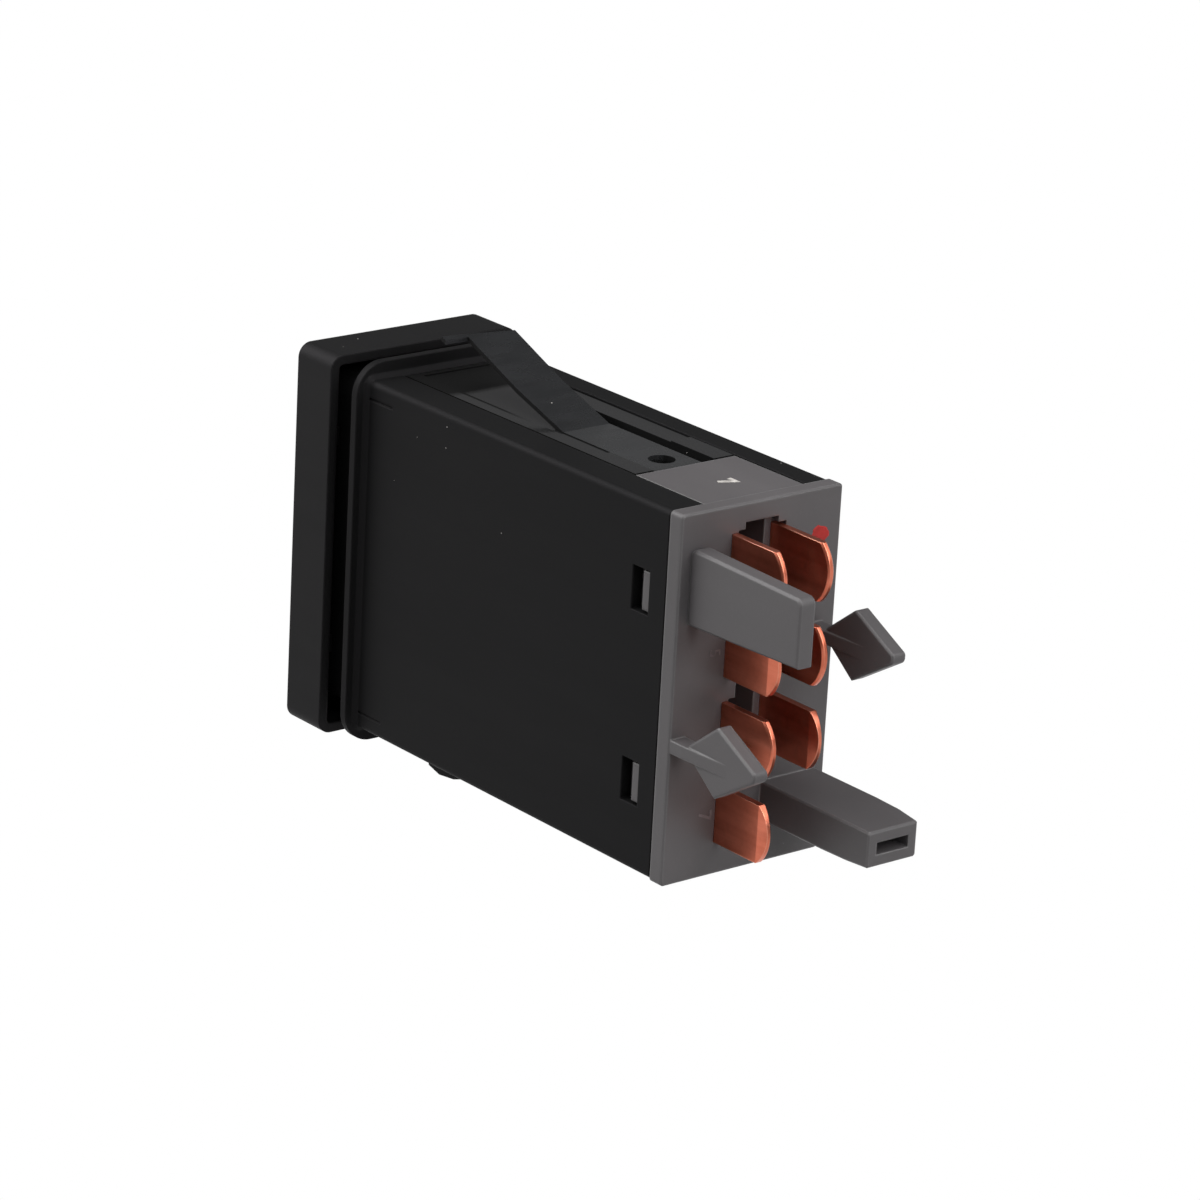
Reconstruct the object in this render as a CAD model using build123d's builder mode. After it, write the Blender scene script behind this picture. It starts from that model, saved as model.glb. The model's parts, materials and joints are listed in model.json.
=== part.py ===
from build123d import *
import math
import os

os.makedirs("parts", exist_ok=True)

# Hazard warning switch with its flasher relay inside, for a dashboard opening.
# Millimetres. Y runs from the push button (-Y) to the terminals (+Y), Z is up.
# The origin is the centre of the bezel's rear face, which seats on the panel.

# Slip clearance between pieces that are pushed together
fit_gap = 0.05

# Sides of the many-sided section that bent wires are drawn with
wire_sides = 6

# Front bezel
bezel_width = 25.2
bezel_height = 43.6
bezel_depth = 6.7
bezel_corner = 1.6
bezel_rim = 1.1
bezel_front_wall = 2.0
bezel_edge = 0.6
rib_length = 3.0
rib_width = 2.0
rib_pitch = 24.0

# Push button and its well
button_width = 17.4
button_height = 35.4
button_corner = 1.4
button_gap = 0.25
button_proud = 2.2
button_depth = 7.9
button_wall = 1.2
button_front_wall = 1.8
button_travel = 4.0
triangle_side = 13.0
triangle_line = 1.2
triangle_step = 6.4
triangle_inlay = 0.4
triangle_lift = 0.1
triangle_z = 1.5

# Housing sleeve
housing_width = 21.2
housing_height = 40.0
housing_corner = 0.7
housing_wall = 1.3
housing_rear = 55.4
neck_wall = 0.95
flange_front = 3.1
flange_thickness = 0.9
flange_reach_side = 1.4
flange_reach_end = 1.8
flange_corner = 3.6
flange_root = 0.5
channel_near = 6.3
channel_far = -7.35
channel_front = 4.6
window_setback = 5.3
window_length = 2.75
window_height = 4.8
window_z = 10.4
slit_length = 4.6
slit_height = 0.3
slit_depth = 0.2
slit_z = 18.0
slit_front = 4.0
catch_width = 12.0
catch_front = 11.0
catch_length = 14.0
catch_height = 3.3
catch_nose = 2.6
catch_lead = 0.65
catch_lead_drop = 0.5
catch_flat = 2.6
catch_flat_rise = 0.3

# Mechanism frame inside the sleeve
seat_clearance = 0.2
frame_front = 4.9
bulkhead_front = 12.0
bulkhead_thickness = 1.6
plate_thickness = 1.65
floor_thickness = 2.1
shelf_thickness = 1.4
cheek_thickness = 1.2
spring_wall_front = 37.0
spring_wall_thickness = 1.5
tray_front = 5.6
near_rail_gap = 0.25
far_rail_gap = 0.3
tray_rear = 37.2
tray_margin = 1.75
tray_depth = 0.15
slot_width = 1.75
slot_front = 24.0
plate_rear = 44.2
seat_lead = 1.4

# Retaining leaf spring on top
leaf_near = 3.6
leaf_width = 6.2
leaf_thickness = 0.5
leaf_bend_y = 29.2
leaf_mid_y = 21.0
leaf_tip_y = 11.5
leaf_low_angle = 17.4
leaf_high_angle = 21.5
leaf_ear = 3.0
leaf_ear_length = 0.7
leaf_tip_slant = 0.9
leaf_hole = 2.9
leaf_hole_x = 0.4
leaf_hole_y = 41.6
leaf_gap = 0.1

# Slider, return spring and latch wire
slider_width = 10.0
slider_height = 10.0
slider_rear = 30.0
slider_gap = 0.12
slider_bore = 6.4
slider_bore_x = 0.8
slider_bore_depth = 16.0
spring_diameter = 5.4
spring_wire = 0.5
spring_turns = 4
spigot_diameter = 3.8
spigot_length = 5.0
cam_depth = 1.2
cam_margin = 1.0
latch_wire = 0.8
latch_x = -6.5
latch_tip_y = 18.5
latch_pivot_y = 33.0
latch_swing = 5.0
lug_width = 3.0
lug_height = 1.6
lug_length = 6.0

# Circuit board
board_thickness = 1.6
board_x = 6.6
board_front = 13.9
board_rear = 49.4
board_half_height = 17.4

# Contacts between slider and board
contact_thickness = 0.4
contact_width = 2.6
contact_pitch_y = 7.0
contact_front_y = 20.0
contact_row_z = 2.4
contact_gap = 0.1
strip_thickness = 0.4

# Terminal base
base_gap = 0.25
base_thickness = 1.85
base_lip = 0.1
base_corner = 0.5
base_edge = 0.2
plug_length = 5.85
plug_gap = 0.15
tongue_gap = 0.4
tongue_side_gap = 0.4
tongue_thickness = 2.0
tab_reach = 1.2
tab_length = 1.25
tab_ramp = 0.6
tab_height = 4.2

# Blade terminals
blade_width = 6.3
blade_thickness = 0.8
blade_shoulder = 6.7
blade_tip = 1.4
blade_coin = 0.2
coined_blades = (2, 4, 7)
blade_pitch = 9.06
blade_row_z = 0.25
near_column_x = 3.55
far_column_x = -2.56
near_blade_front = 47.5
far_blade_front = 45.5
tail_height = 2.0
tail_offset = 1.9
blade_slot_gap = 0.03
well_near_x = 2.25
well_rib = 0.9
well_ledge_depth = 1.15
well_notch = 0.25
well_height_top = 8.6
well_height_low = 12.5
well_top_z = 18.0
well_low_z = 4.5
far_notch_width = 1.32
far_notch_top = 17.33
well_depth = 5.0

# Guide key, hollow post and connector hooks on the base
key_near = 9.35
key_thickness = 1.9
key_root_top = 16.4
key_root_bottom = 8.2
key_tip_top = 16.0
key_tip_bottom = 8.75
key_length = 17.0
key_round = 0.8
key_edge = 0.25
post_near = -2.0
post_width = 7.5
post_top = -10.9
post_height = 4.25
post_stations = ((9.8, 0.0, 0.0), (13.6, 0.2, 0.1), (17.0, 0.85, 0.35))
post_edge = 0.2
post_hole_width = 4.3
post_hole_height = 1.35
post_hole_depth = 12.0
hook_thickness = 1.7
hook_edge = 0.2
hook_stem = 1.4
hook_stem_drop = 0.35
hook_proud = 0.3
hook_start = 1.8
hook_mid = 6.8
hook_ridge = 8.6
hook_length = 12.9
hook_rise = 3.85
hook_round = 0.8
hook_tip = 0.9
hook_tip_rise = 0.3
near_hook_x = 10.3
near_hook_z = -4.3
far_hook_x = -7.3
far_hook_z = 5.1

# Flasher relay
relay_x = -0.6
relay_z = 7.6
bobbin_front = 29.0
bobbin_length = 13.0
bobbin_flange = 10.5
bobbin_flange_thickness = 1.0
bobbin_tube = 5.4
core_diameter = 4.1
core_head = 6.5
core_head_length = 0.8
coil_diameter = 9.6
yoke_thickness = 1.3
yoke_width = 10.0
yoke_gap = 0.6
armature_gap = 0.8
armature_thickness = 1.0
armature_width = 8.4
armature_foot = 5.0
armature_swing = 4.0
relay_strip_width = 3.6
relay_strip_thickness = 0.3
relay_contact = 1.8
pin_width = 0.6
pin_offset = 3.4
pin_depth = 2.0

# Illumination lamp
lamp_z = 6.5
lamp_diameter = 5.0
lamp_length = 10.5
bulb_nose_length = 0.85
bulb_nose_radius = 0.85
bulb_taper_length = 2.5
bulb_taper_radius = 1.9
holder_diameter = 8.0
holder_flange = 9.6
holder_length = 6.0

# Places worked out from the sizes above
front_face = -bezel_depth
button_front = front_face - button_proud
well_width = button_width + 2 * button_gap
well_height = button_height + 2 * button_gap
neck_front = front_face + bezel_front_wall
neck_width = well_width + 2 * neck_wall
neck_height = well_height + 2 * neck_wall
flange_rear = flange_front + flange_thickness
flange_width = housing_width + 2 * flange_reach_side
flange_height = housing_height + 2 * flange_reach_end
inner_width = housing_width - 2 * housing_wall
inner_height = housing_height - 2 * housing_wall
half_width = housing_width / 2
half_height = housing_height / 2
frame_half = inner_width / 2 - seat_clearance
frame_bottom = -inner_height / 2 + seat_clearance / 2
frame_top = inner_height / 2 - seat_clearance
plate_bottom = frame_top - plate_thickness
floor_top = frame_bottom + floor_thickness
slider_z = floor_top + slider_gap + slider_height / 2
shelf_bottom = slider_z + slider_height / 2 + slider_gap
shelf_top = shelf_bottom + shelf_thickness
web_near = board_x - seat_clearance
cheek_inner = -frame_half + cheek_thickness
plate_near = channel_near - near_rail_gap
plate_far = channel_far + far_rail_gap
leaf_top = half_height - leaf_gap / 2
leaf_far = leaf_near - leaf_width
slot_far = leaf_far - leaf_gap - slot_width
seat_front = leaf_bend_y - seat_lead
window_front = housing_rear - window_setback
base_front = housing_rear + base_gap
base_rear = base_front + base_thickness
plug_front = base_front - plug_length
tongue_front = plate_rear + tongue_gap
tongue_near = channel_near - fit_gap
tongue_far = channel_far + tongue_side_gap
board_far = board_x + board_thickness
row_heights = [blade_row_z + blade_pitch * (1.5 - row) for row in range(4)]
blade_places = [(near_column_x, z) for z in row_heights] + [(far_column_x, z) for z in row_heights[:3]]


def section_at(y):
    # Plane across the switch at depth y, seen from the front with X right and Z up
    return Plane(origin=(0, y, 0), x_dir=(1, 0, 0), z_dir=(0, -1, 0))


def side_at(x):
    # Plane along the switch at width x, with Y right and Z up
    return Plane.YZ.offset(x)


# Bezel: a frame with a hollow rear and ribs that centre it on the sleeve's neck
with BuildPart() as bezel:
    with BuildSketch(section_at(front_face)):
        RectangleRounded(bezel_width, bezel_height, bezel_corner)
    extrude(amount=-bezel_depth)
    chamfer(bezel.faces().sort_by(Axis.Y)[0].edges(), bezel_edge)
    with BuildSketch(section_at(neck_front)):
        RectangleRounded(bezel_width - 2 * bezel_rim, bezel_height - 2 * bezel_rim, bezel_corner - bezel_rim)
    extrude(amount=neck_front, mode=Mode.SUBTRACT)
    with BuildSketch(section_at(front_face)):
        RectangleRounded(well_width, well_height, button_corner)
    extrude(amount=-bezel_front_wall, mode=Mode.SUBTRACT)
    well_edges = bezel.faces().sort_by(Axis.Y)[0].inner_wires()[0].edges()
    chamfer(well_edges, bezel_edge / 2)
    rib_height = (bezel_width - neck_width) / 2 - bezel_rim - fit_gap
    with BuildSketch(section_at(neck_front)):
        for side in (-1, 1):
            with Locations((side * (bezel_width / 2 - bezel_rim - rib_height / 2), 0)):
                with GridLocations(0, rib_pitch, 1, 2):
                    Rectangle(rib_height, rib_width)
    extrude(amount=-rib_length)
bezel.part.label = "bezel"
export_step(bezel.part, "parts/bezel.step")

# Housing: one moulded sleeve with a neck, a ring flange and a channel along its top
with BuildPart() as housing:
    with BuildSketch(section_at(flange_front)):
        RectangleRounded(housing_width, housing_height, housing_corner)
    extrude(amount=-(housing_rear - flange_front))
    with BuildSketch(section_at(flange_front)):
        RectangleRounded(flange_width, flange_height, flange_corner)
    extrude(amount=-flange_thickness)
    ring_rear = housing.faces().filter_by(Axis.Y).sort_by(Axis.Y)[-2]
    chamfer(ring_rear.inner_wires()[0].edges(), flange_root)
    with BuildSketch(section_at(neck_front)):
        RectangleRounded(neck_width, neck_height, button_corner + neck_wall)
    extrude(amount=-(flange_front - neck_front))
    # Catch under the sleeve: steep nose towards the panel, long ramp to the rear
    with BuildSketch(side_at(-catch_width / 2)):
        with BuildLine():
            Polyline(
                (catch_front, -half_height + housing_wall / 2),
                (catch_front + catch_lead, -half_height - catch_height + catch_lead_drop),
                (catch_front + catch_nose, -half_height - catch_height),
                (catch_front + catch_nose + catch_flat, -half_height - catch_height + catch_flat_rise),
                (catch_front + catch_length, -half_height),
                (catch_front + catch_length, -half_height + housing_wall / 2),
                close=True,
            )
        make_face()
    extrude(amount=catch_width)
    # Inside: the button's well through the neck, then the wider chamber
    with BuildSketch(section_at(neck_front)):
        RectangleRounded(well_width, well_height, button_corner)
    extrude(amount=-(flange_rear - neck_front), mode=Mode.SUBTRACT)
    with BuildSketch(section_at(flange_rear)):
        RectangleRounded(inner_width, inner_height, housing_corner / 2)
    extrude(amount=-(housing_rear - flange_rear), mode=Mode.SUBTRACT)
    # Channel that leaves the frame's top plate in view
    with BuildSketch(Plane.XY.offset(inner_height / 2 - housing_wall)):
        with Locations(((channel_near + channel_far) / 2, (channel_front + housing_rear) / 2)):
            Rectangle(channel_near - channel_far, housing_rear - channel_front)
    extrude(amount=3 * housing_wall, mode=Mode.SUBTRACT)
    # Two snap windows and two short slits in each side wall
    with BuildSketch(side_at(-half_width)):
        with Locations((window_front + window_length / 2, 0)):
            with GridLocations(0, 2 * window_z, 1, 2):
                Rectangle(window_length, window_height)
    extrude(amount=housing_width, mode=Mode.SUBTRACT)
    for side in (-1, 1):
        with BuildSketch(side_at(side * half_width)):
            with Locations((slit_front + slit_length / 2, 0)):
                with GridLocations(0, 2 * slit_z, 1, 2):
                    Rectangle(slit_length, slit_height)
        extrude(amount=-side * slit_depth, mode=Mode.SUBTRACT)
housing.part.label = "housing"
export_step(housing.part, "parts/housing.step")

# Mechanism frame: floor, shelf, far cheek and top plate tied by two walls across
with BuildPart() as mechanism_frame:
    with BuildSketch(section_at(bulkhead_front)):
        with BuildLine():
            Polyline(
                (-frame_half, frame_bottom),
                (frame_half, frame_bottom),
                (frame_half, floor_top),
                (cheek_inner, floor_top),
                (cheek_inner, shelf_bottom),
                (web_near, shelf_bottom),
                (web_near, shelf_top),
                (cheek_inner, shelf_top),
                (cheek_inner, plate_bottom),
                (frame_half, plate_bottom),
                (frame_half, frame_top),
                (-frame_half, frame_top),
                close=True,
            )
        make_face()
    extrude(amount=-(plate_rear - bulkhead_front))
    # Floor runs on to the terminal base
    with BuildSketch(Plane.XY.offset(frame_bottom)):
        with Locations((0, (plate_rear + plug_front - seat_clearance) / 2)):
            Rectangle(2 * frame_half, plug_front - seat_clearance - plate_rear)
    extrude(amount=floor_thickness)
    # Top plate forward of the bulkhead, and its raised part in the sleeve's channel
    with BuildSketch(Plane.XY.offset(plate_bottom)):
        with Locations((0, (frame_front + bulkhead_front) / 2)):
            Rectangle(2 * frame_half, bulkhead_front - frame_front)
    extrude(amount=plate_thickness)
    with BuildSketch(Plane.XY.offset(frame_top - plate_thickness / 2)):
        with Locations(((plate_near + plate_far) / 2, (frame_front + plate_rear) / 2)):
            Rectangle(plate_near - plate_far, plate_rear - frame_front)
    extrude(amount=half_height - frame_top + plate_thickness / 2)
    # Walls across: the front bulkhead and the spring wall under the shelf
    with BuildSketch(section_at(bulkhead_front)):
        with Locations(((cheek_inner + web_near) / 2, (floor_top + plate_bottom) / 2)):
            Rectangle(web_near - cheek_inner, plate_bottom - floor_top)
    extrude(amount=-bulkhead_thickness)
    with BuildSketch(section_at(spring_wall_front)):
        with Locations(((cheek_inner + web_near) / 2, (floor_top + shelf_bottom) / 2)):
            Rectangle(web_near - cheek_inner, shelf_bottom - floor_top)
    extrude(amount=-spring_wall_thickness)
    with BuildSketch(section_at(spring_wall_front - spigot_length)):
        with Locations((slider_bore_x, slider_z)):
            Circle(spigot_diameter / 2)
    extrude(amount=-spigot_length)
    # Windows in the bulkhead for the slider and for the lamp holder
    with BuildSketch(section_at(bulkhead_front)):
        with Locations((0, slider_z)):
            Rectangle(slider_width + 2 * slider_gap, slider_height + 2 * slider_gap)
        with Locations((0, lamp_z)):
            Circle(holder_diameter / 2 + fit_gap)
    extrude(amount=-bulkhead_thickness, mode=Mode.SUBTRACT)
    # Shallow tray, leaf spring seat, slot beside the leaf and its peg hole
    with BuildSketch(Plane.XY.offset(half_height - tray_depth)):
        tray_near = plate_near - tray_margin
        with Locations(((tray_near + channel_far) / 2, (tray_front + tray_rear) / 2)):
            Rectangle(tray_near - channel_far, tray_rear - tray_front)
    extrude(amount=tray_depth, mode=Mode.SUBTRACT)
    with BuildSketch(Plane.XY.offset(leaf_top - leaf_thickness)):
        with Locations((leaf_near - leaf_width / 2, (seat_front + plate_rear) / 2)):
            Rectangle(leaf_width + 2 * leaf_gap, plate_rear - seat_front)
    extrude(amount=2 * leaf_thickness, mode=Mode.SUBTRACT)
    with BuildSketch(Plane.XY.offset(plate_bottom)):
        with Locations((slot_far + slot_width / 2, (slot_front + plate_rear) / 2)):
            Rectangle(slot_width, plate_rear - slot_front)
        with Locations((leaf_hole_x, leaf_hole_y)):
            Circle(leaf_hole / 2)
    extrude(amount=half_height - plate_bottom, mode=Mode.SUBTRACT)
    # Grooves that hold the board's lower and upper edges, and the latch wire's pivot hole
    with BuildSketch(section_at(bulkhead_front)):
        with Locations((board_x + board_thickness / 2, 0)):
            Rectangle(board_thickness + 2 * fit_gap, 2 * board_half_height + 2 * fit_gap)
    extrude(amount=-(plug_front - bulkhead_front), mode=Mode.SUBTRACT)
    with BuildSketch(side_at(-frame_half)):
        with Locations((latch_pivot_y, slider_z)):
            Circle(latch_wire / 2 + fit_gap)
    extrude(amount=cheek_thickness, mode=Mode.SUBTRACT)
mechanism_frame.part.label = "mechanism_frame"
export_step(mechanism_frame.part, "parts/mechanism_frame.step")

# Retaining leaf: a bowed strip, flat in the frame's seat and rising towards the bezel
leaf_mid_top = leaf_top + (leaf_bend_y - leaf_mid_y) * math.tan(math.radians(leaf_low_angle))
leaf_tip_top = leaf_mid_top + (leaf_mid_y - leaf_tip_y) * math.tan(math.radians(leaf_high_angle))
leaf_profile = [
    (tongue_front - fit_gap, leaf_top),
    (leaf_bend_y, leaf_top),
    (leaf_mid_y, leaf_mid_top),
    (leaf_tip_y, leaf_tip_top),
]
leaf_underside = [(y, z - leaf_thickness) for y, z in reversed(leaf_profile)]
with BuildPart() as retaining_leaf:
    with BuildSketch(side_at(leaf_far)):
        with BuildLine():
            Polyline(*leaf_profile, *leaf_underside, close=True)
        make_face()
    extrude(amount=leaf_width + leaf_ear)
    # Seen from above: the ear stays at the tip, and the tip's edge is cut at a slant
    with BuildSketch(Plane.XY.offset(leaf_top - leaf_thickness)):
        ear_rear = leaf_tip_y + leaf_ear_length
        with Locations((leaf_near + leaf_ear / 2, (ear_rear + tongue_front) / 2)):
            Rectangle(leaf_ear, tongue_front - ear_rear)
        with BuildLine():
            Polyline(
                (leaf_far, leaf_tip_y),
                (leaf_near + leaf_ear, leaf_tip_y),
                (leaf_far, leaf_tip_y + leaf_tip_slant),
                close=True,
            )
        make_face()
    extrude(amount=half_height, mode=Mode.SUBTRACT)
    with Locations(Plane.XY.offset(leaf_top)):
        with Locations((leaf_hole_x, leaf_hole_y)):
            Hole(leaf_hole / 2, depth=leaf_thickness)
retaining_leaf.part.label = "retaining_leaf"
export_step(retaining_leaf.part, "parts/retaining_leaf.step")

# Push button: a cup with bevelled front edges and shallow triangular seats
triangle_sizes = [triangle_side, triangle_side - triangle_step]


def triangle_ring(side):
    # One line of the warning sign, a triangle with a smaller triangle taken out
    inner = side - triangle_line * 2 * math.sqrt(3)
    with Locations((0, triangle_z)):
        RegularPolygon(side / math.sqrt(3), 3, rotation=90)
        RegularPolygon(inner / math.sqrt(3), 3, rotation=90, mode=Mode.SUBTRACT)


with BuildPart() as push_button:
    with BuildSketch(section_at(button_front)):
        RectangleRounded(button_width, button_height, button_corner - button_gap)
    extrude(amount=-button_depth)
    chamfer(push_button.faces().sort_by(Axis.Y)[0].edges(), bezel_edge)
    with BuildSketch(section_at(button_front + button_front_wall)):
        RectangleRounded(button_width - 2 * button_wall, button_height - 2 * button_wall, button_corner / 4)
    extrude(amount=-(button_depth - button_front_wall), mode=Mode.SUBTRACT)
    for ring_side in triangle_sizes:
        with BuildSketch(section_at(button_front)):
            triangle_ring(ring_side)
        extrude(amount=-triangle_inlay, mode=Mode.SUBTRACT)
push_button.part.label = "push_button"
export_step(push_button.part, "parts/push_button.step")

# Warning sign: two inlaid triangular frames, one inside the other
for name, ring_side in zip(("outer", "inner"), triangle_sizes):
    with BuildPart() as sign_triangle:
        with BuildSketch(section_at(button_front - triangle_lift)):
            triangle_ring(ring_side)
        extrude(amount=-(triangle_inlay + triangle_lift))
    sign_triangle.part.label = f"{name}_triangle"
    export_step(sign_triangle.part, f"parts/{name}_triangle.step")

# Slider: carries the button, the cam for the latch wire and the bridge contacts
slider_front = button_front + button_front_wall
latch_rise = (latch_pivot_y - latch_tip_y) * math.sin(math.radians(latch_swing))
cam_front = latch_tip_y - latch_wire / 2 - button_travel - cam_margin
cam_rear = latch_tip_y + latch_wire / 2 + cam_margin
cam_height = 2 * (latch_rise + latch_wire / 2 + cam_margin)
with BuildPart() as button_slider:
    with BuildSketch(section_at(slider_front)):
        with Locations((0, slider_z)):
            RectangleRounded(slider_width, slider_height, button_gap)
    extrude(amount=-(slider_rear - slider_front))
    # Light shaft so that the slider's front end is a thin box, not a block
    with BuildSketch(section_at(slider_front)):
        with Locations((0, slider_z)):
            Rectangle(slider_width - 2 * button_wall, slider_height - 2 * button_wall)
    extrude(amount=-(bulkhead_front - 2 * button_wall - slider_front), mode=Mode.SUBTRACT)
    # Lug up the back of the button's front wall
    with BuildSketch(section_at(slider_front)):
        with Locations((0, slider_z + slider_height / 2 + lug_height / 2)):
            Rectangle(lug_width, lug_height)
    extrude(amount=-lug_length)
    # Spring bore
    with BuildSketch(section_at(slider_rear)):
        with Locations((slider_bore_x, slider_z)):
            Circle(slider_bore / 2)
    extrude(amount=slider_bore_depth, mode=Mode.SUBTRACT)
    # Heart cam: a loop cut round an island that stays standing
    with BuildSketch(side_at(-slider_width / 2)):
        with Locations(((cam_front + cam_rear) / 2, slider_z)):
            RectangleRounded(cam_rear - cam_front, cam_height, latch_wire)
        with BuildLine():
            Polyline(
                (latch_tip_y - latch_wire, slider_z - latch_wire),
                (latch_tip_y - 4 * latch_wire, slider_z + latch_wire / 4),
                (latch_tip_y - 3 * latch_wire, slider_z - latch_wire),
                (latch_tip_y - 4 * latch_wire, slider_z - 2 * latch_wire),
                close=True,
            )
        make_face(mode=Mode.SUBTRACT)
    extrude(amount=cam_depth, mode=Mode.SUBTRACT)
    # Seats for the two bridge contacts
    with BuildSketch(side_at(slider_width / 2)):
        for row in (-1, 1):
            with Locations((contact_front_y + contact_pitch_y / 2, slider_z + row * contact_row_z)):
                Rectangle(contact_pitch_y, contact_width)
    extrude(amount=-contact_thickness, mode=Mode.SUBTRACT)
button_slider.part.label = "button_slider"
export_step(button_slider.part, "parts/button_slider.step")

# Bridge contacts: sprung strips with a foot at each end, seated in the slider
bridge_reach = board_x - strip_thickness - contact_gap
for index, row in enumerate((-1, 1), start=1):
    with BuildPart() as bridge_contact:
        seat_x = slider_width / 2 - contact_thickness
        foot = bridge_reach - slider_width / 2
        row_z = slider_z + row * contact_row_z - contact_width / 2
        with BuildSketch(Plane.XY.offset(row_z)):
            with BuildLine():
                Polyline(
                    (seat_x, contact_front_y),
                    (seat_x + contact_thickness, contact_front_y),
                    (bridge_reach, contact_front_y + foot),
                    (bridge_reach, contact_front_y + foot + contact_thickness),
                    (seat_x + contact_thickness, contact_front_y + 2 * foot + contact_thickness),
                    (seat_x + contact_thickness, contact_front_y + contact_pitch_y - 2 * foot - contact_thickness),
                    (bridge_reach, contact_front_y + contact_pitch_y - foot - contact_thickness),
                    (bridge_reach, contact_front_y + contact_pitch_y - foot),
                    (seat_x + contact_thickness, contact_front_y + contact_pitch_y),
                    (seat_x, contact_front_y + contact_pitch_y),
                    close=True,
                )
            make_face()
        extrude(amount=contact_width)
    bridge_contact.part.label = f"bridge_contact_{index}"
    export_step(bridge_contact.part, f"parts/bridge_contact_{index}.step")

# Contact strips on the board: the front one always touched, the rear one only when pressed
strip_spans = [
    (contact_front_y - 1.0, contact_front_y + contact_pitch_y - 1.5),
    (contact_front_y + contact_pitch_y + 1.6, contact_front_y + contact_pitch_y + button_travel + 1.5),
]
for row_name, row in (("lower", -1), ("upper", 1)):
    for place, (strip_front, strip_rear) in zip(("front", "rear"), strip_spans):
        with BuildPart() as contact_strip:
            with BuildSketch(side_at(board_x - strip_thickness)):
                with Locations(((strip_front + strip_rear) / 2, slider_z + row * contact_row_z)):
                    Rectangle(strip_rear - strip_front, contact_width)
            extrude(amount=strip_thickness)
            fillet(contact_strip.faces().sort_by(Axis.X)[0].edges().filter_by(Axis.Z), strip_thickness / 2)
        contact_strip.part.label = f"contact_strip_{row_name}_{place}"
        export_step(contact_strip.part, f"parts/contact_strip_{row_name}_{place}.step")

# Return spring: a wire coil between the slider's bore and the spring wall
spring_front = slider_rear - slider_bore_depth + spring_wire / 2
spring_length = spring_wall_front - spring_wire / 2 - spring_front
with BuildPart() as return_spring:
    coil_radius = (spring_diameter - spring_wire) / 2
    with BuildLine() as coil_path:
        Helix(
            pitch=spring_length / spring_turns,
            height=spring_length,
            radius=coil_radius,
            center=(slider_bore_x, spring_front, slider_z),
            direction=(0, 1, 0),
        )
    with BuildSketch(Plane(origin=coil_path.line @ 0, z_dir=coil_path.line % 0)):
        RegularPolygon(spring_wire / 2, 4)
    sweep(is_frenet=True)
return_spring.part.label = "return_spring"
export_step(return_spring.part, "parts/return_spring.step")

# Latch wire: one leg in the cheek's pivot hole, the other tip in the cam
with BuildPart() as latch_pin:
    with BuildLine() as wire_path:
        FilletPolyline(
            (-frame_half, latch_pivot_y, slider_z),
            (latch_x, latch_pivot_y, slider_z),
            (latch_x, latch_tip_y, slider_z),
            (-slider_width / 2 + cam_depth - 2 * fit_gap, latch_tip_y, slider_z),
            radius=latch_wire,
        )
    with BuildSketch(Plane(origin=wire_path.line @ 0, z_dir=wire_path.line % 0)):
        RegularPolygon(latch_wire / 2, wire_sides)
    sweep()
latch_pin.part.label = "latch_pin"
export_step(latch_pin.part, "parts/latch_pin.step")

# Relay bobbin: a tube between two square flanges, with sockets for the coil pins
bobbin_rear = bobbin_front + bobbin_length
pin_y = bobbin_rear - bobbin_flange_thickness / 2
with BuildPart() as relay_bobbin:
    for flange_y in (bobbin_front, bobbin_rear - bobbin_flange_thickness):
        with BuildSketch(section_at(flange_y)):
            with Locations((relay_x, relay_z)):
                Rectangle(bobbin_flange, bobbin_flange)
        extrude(amount=-bobbin_flange_thickness)
    with BuildSketch(section_at(bobbin_front)):
        with Locations((relay_x, relay_z)):
            Circle(bobbin_tube / 2)
    extrude(amount=-bobbin_length)
    with BuildSketch(section_at(bobbin_front)):
        with Locations((relay_x, relay_z)):
            Circle(core_diameter / 2 + fit_gap)
    extrude(amount=-bobbin_length, mode=Mode.SUBTRACT)
    for side in (-1, 1):
        with BuildSketch(side_at(relay_x + bobbin_flange / 2)):
            with Locations((pin_y, relay_z + side * pin_offset)):
                Rectangle(pin_width + 2 * fit_gap, pin_width + 2 * fit_gap)
        extrude(amount=-pin_depth, mode=Mode.SUBTRACT)
relay_bobbin.part.label = "relay_bobbin"
export_step(relay_bobbin.part, "parts/relay_bobbin.step")

# Coil pins: the ends of the winding, carried by the rear flange and soldered to the board
for name, side in (("lower", -1), ("upper", 1)):
    with BuildPart() as coil_pin:
        with BuildSketch(side_at(relay_x + bobbin_flange / 2 - pin_depth)):
            with Locations((pin_y, relay_z + side * pin_offset)):
                Rectangle(pin_width, pin_width)
        extrude(amount=board_far - relay_x - bobbin_flange / 2 + pin_depth)
    coil_pin.part.label = f"coil_pin_{name}"
    export_step(coil_pin.part, f"parts/coil_pin_{name}.step")

# Relay coil: the copper winding between the flanges
with BuildPart() as relay_coil:
    with BuildSketch(section_at(bobbin_front + bobbin_flange_thickness)):
        with Locations((relay_x, relay_z)):
            Circle(coil_diameter / 2)
            Circle(bobbin_tube / 2 + fit_gap, mode=Mode.SUBTRACT)
    extrude(amount=-(bobbin_length - 2 * bobbin_flange_thickness))
relay_coil.part.label = "relay_coil"
export_step(relay_coil.part, "parts/relay_coil.step")

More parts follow.
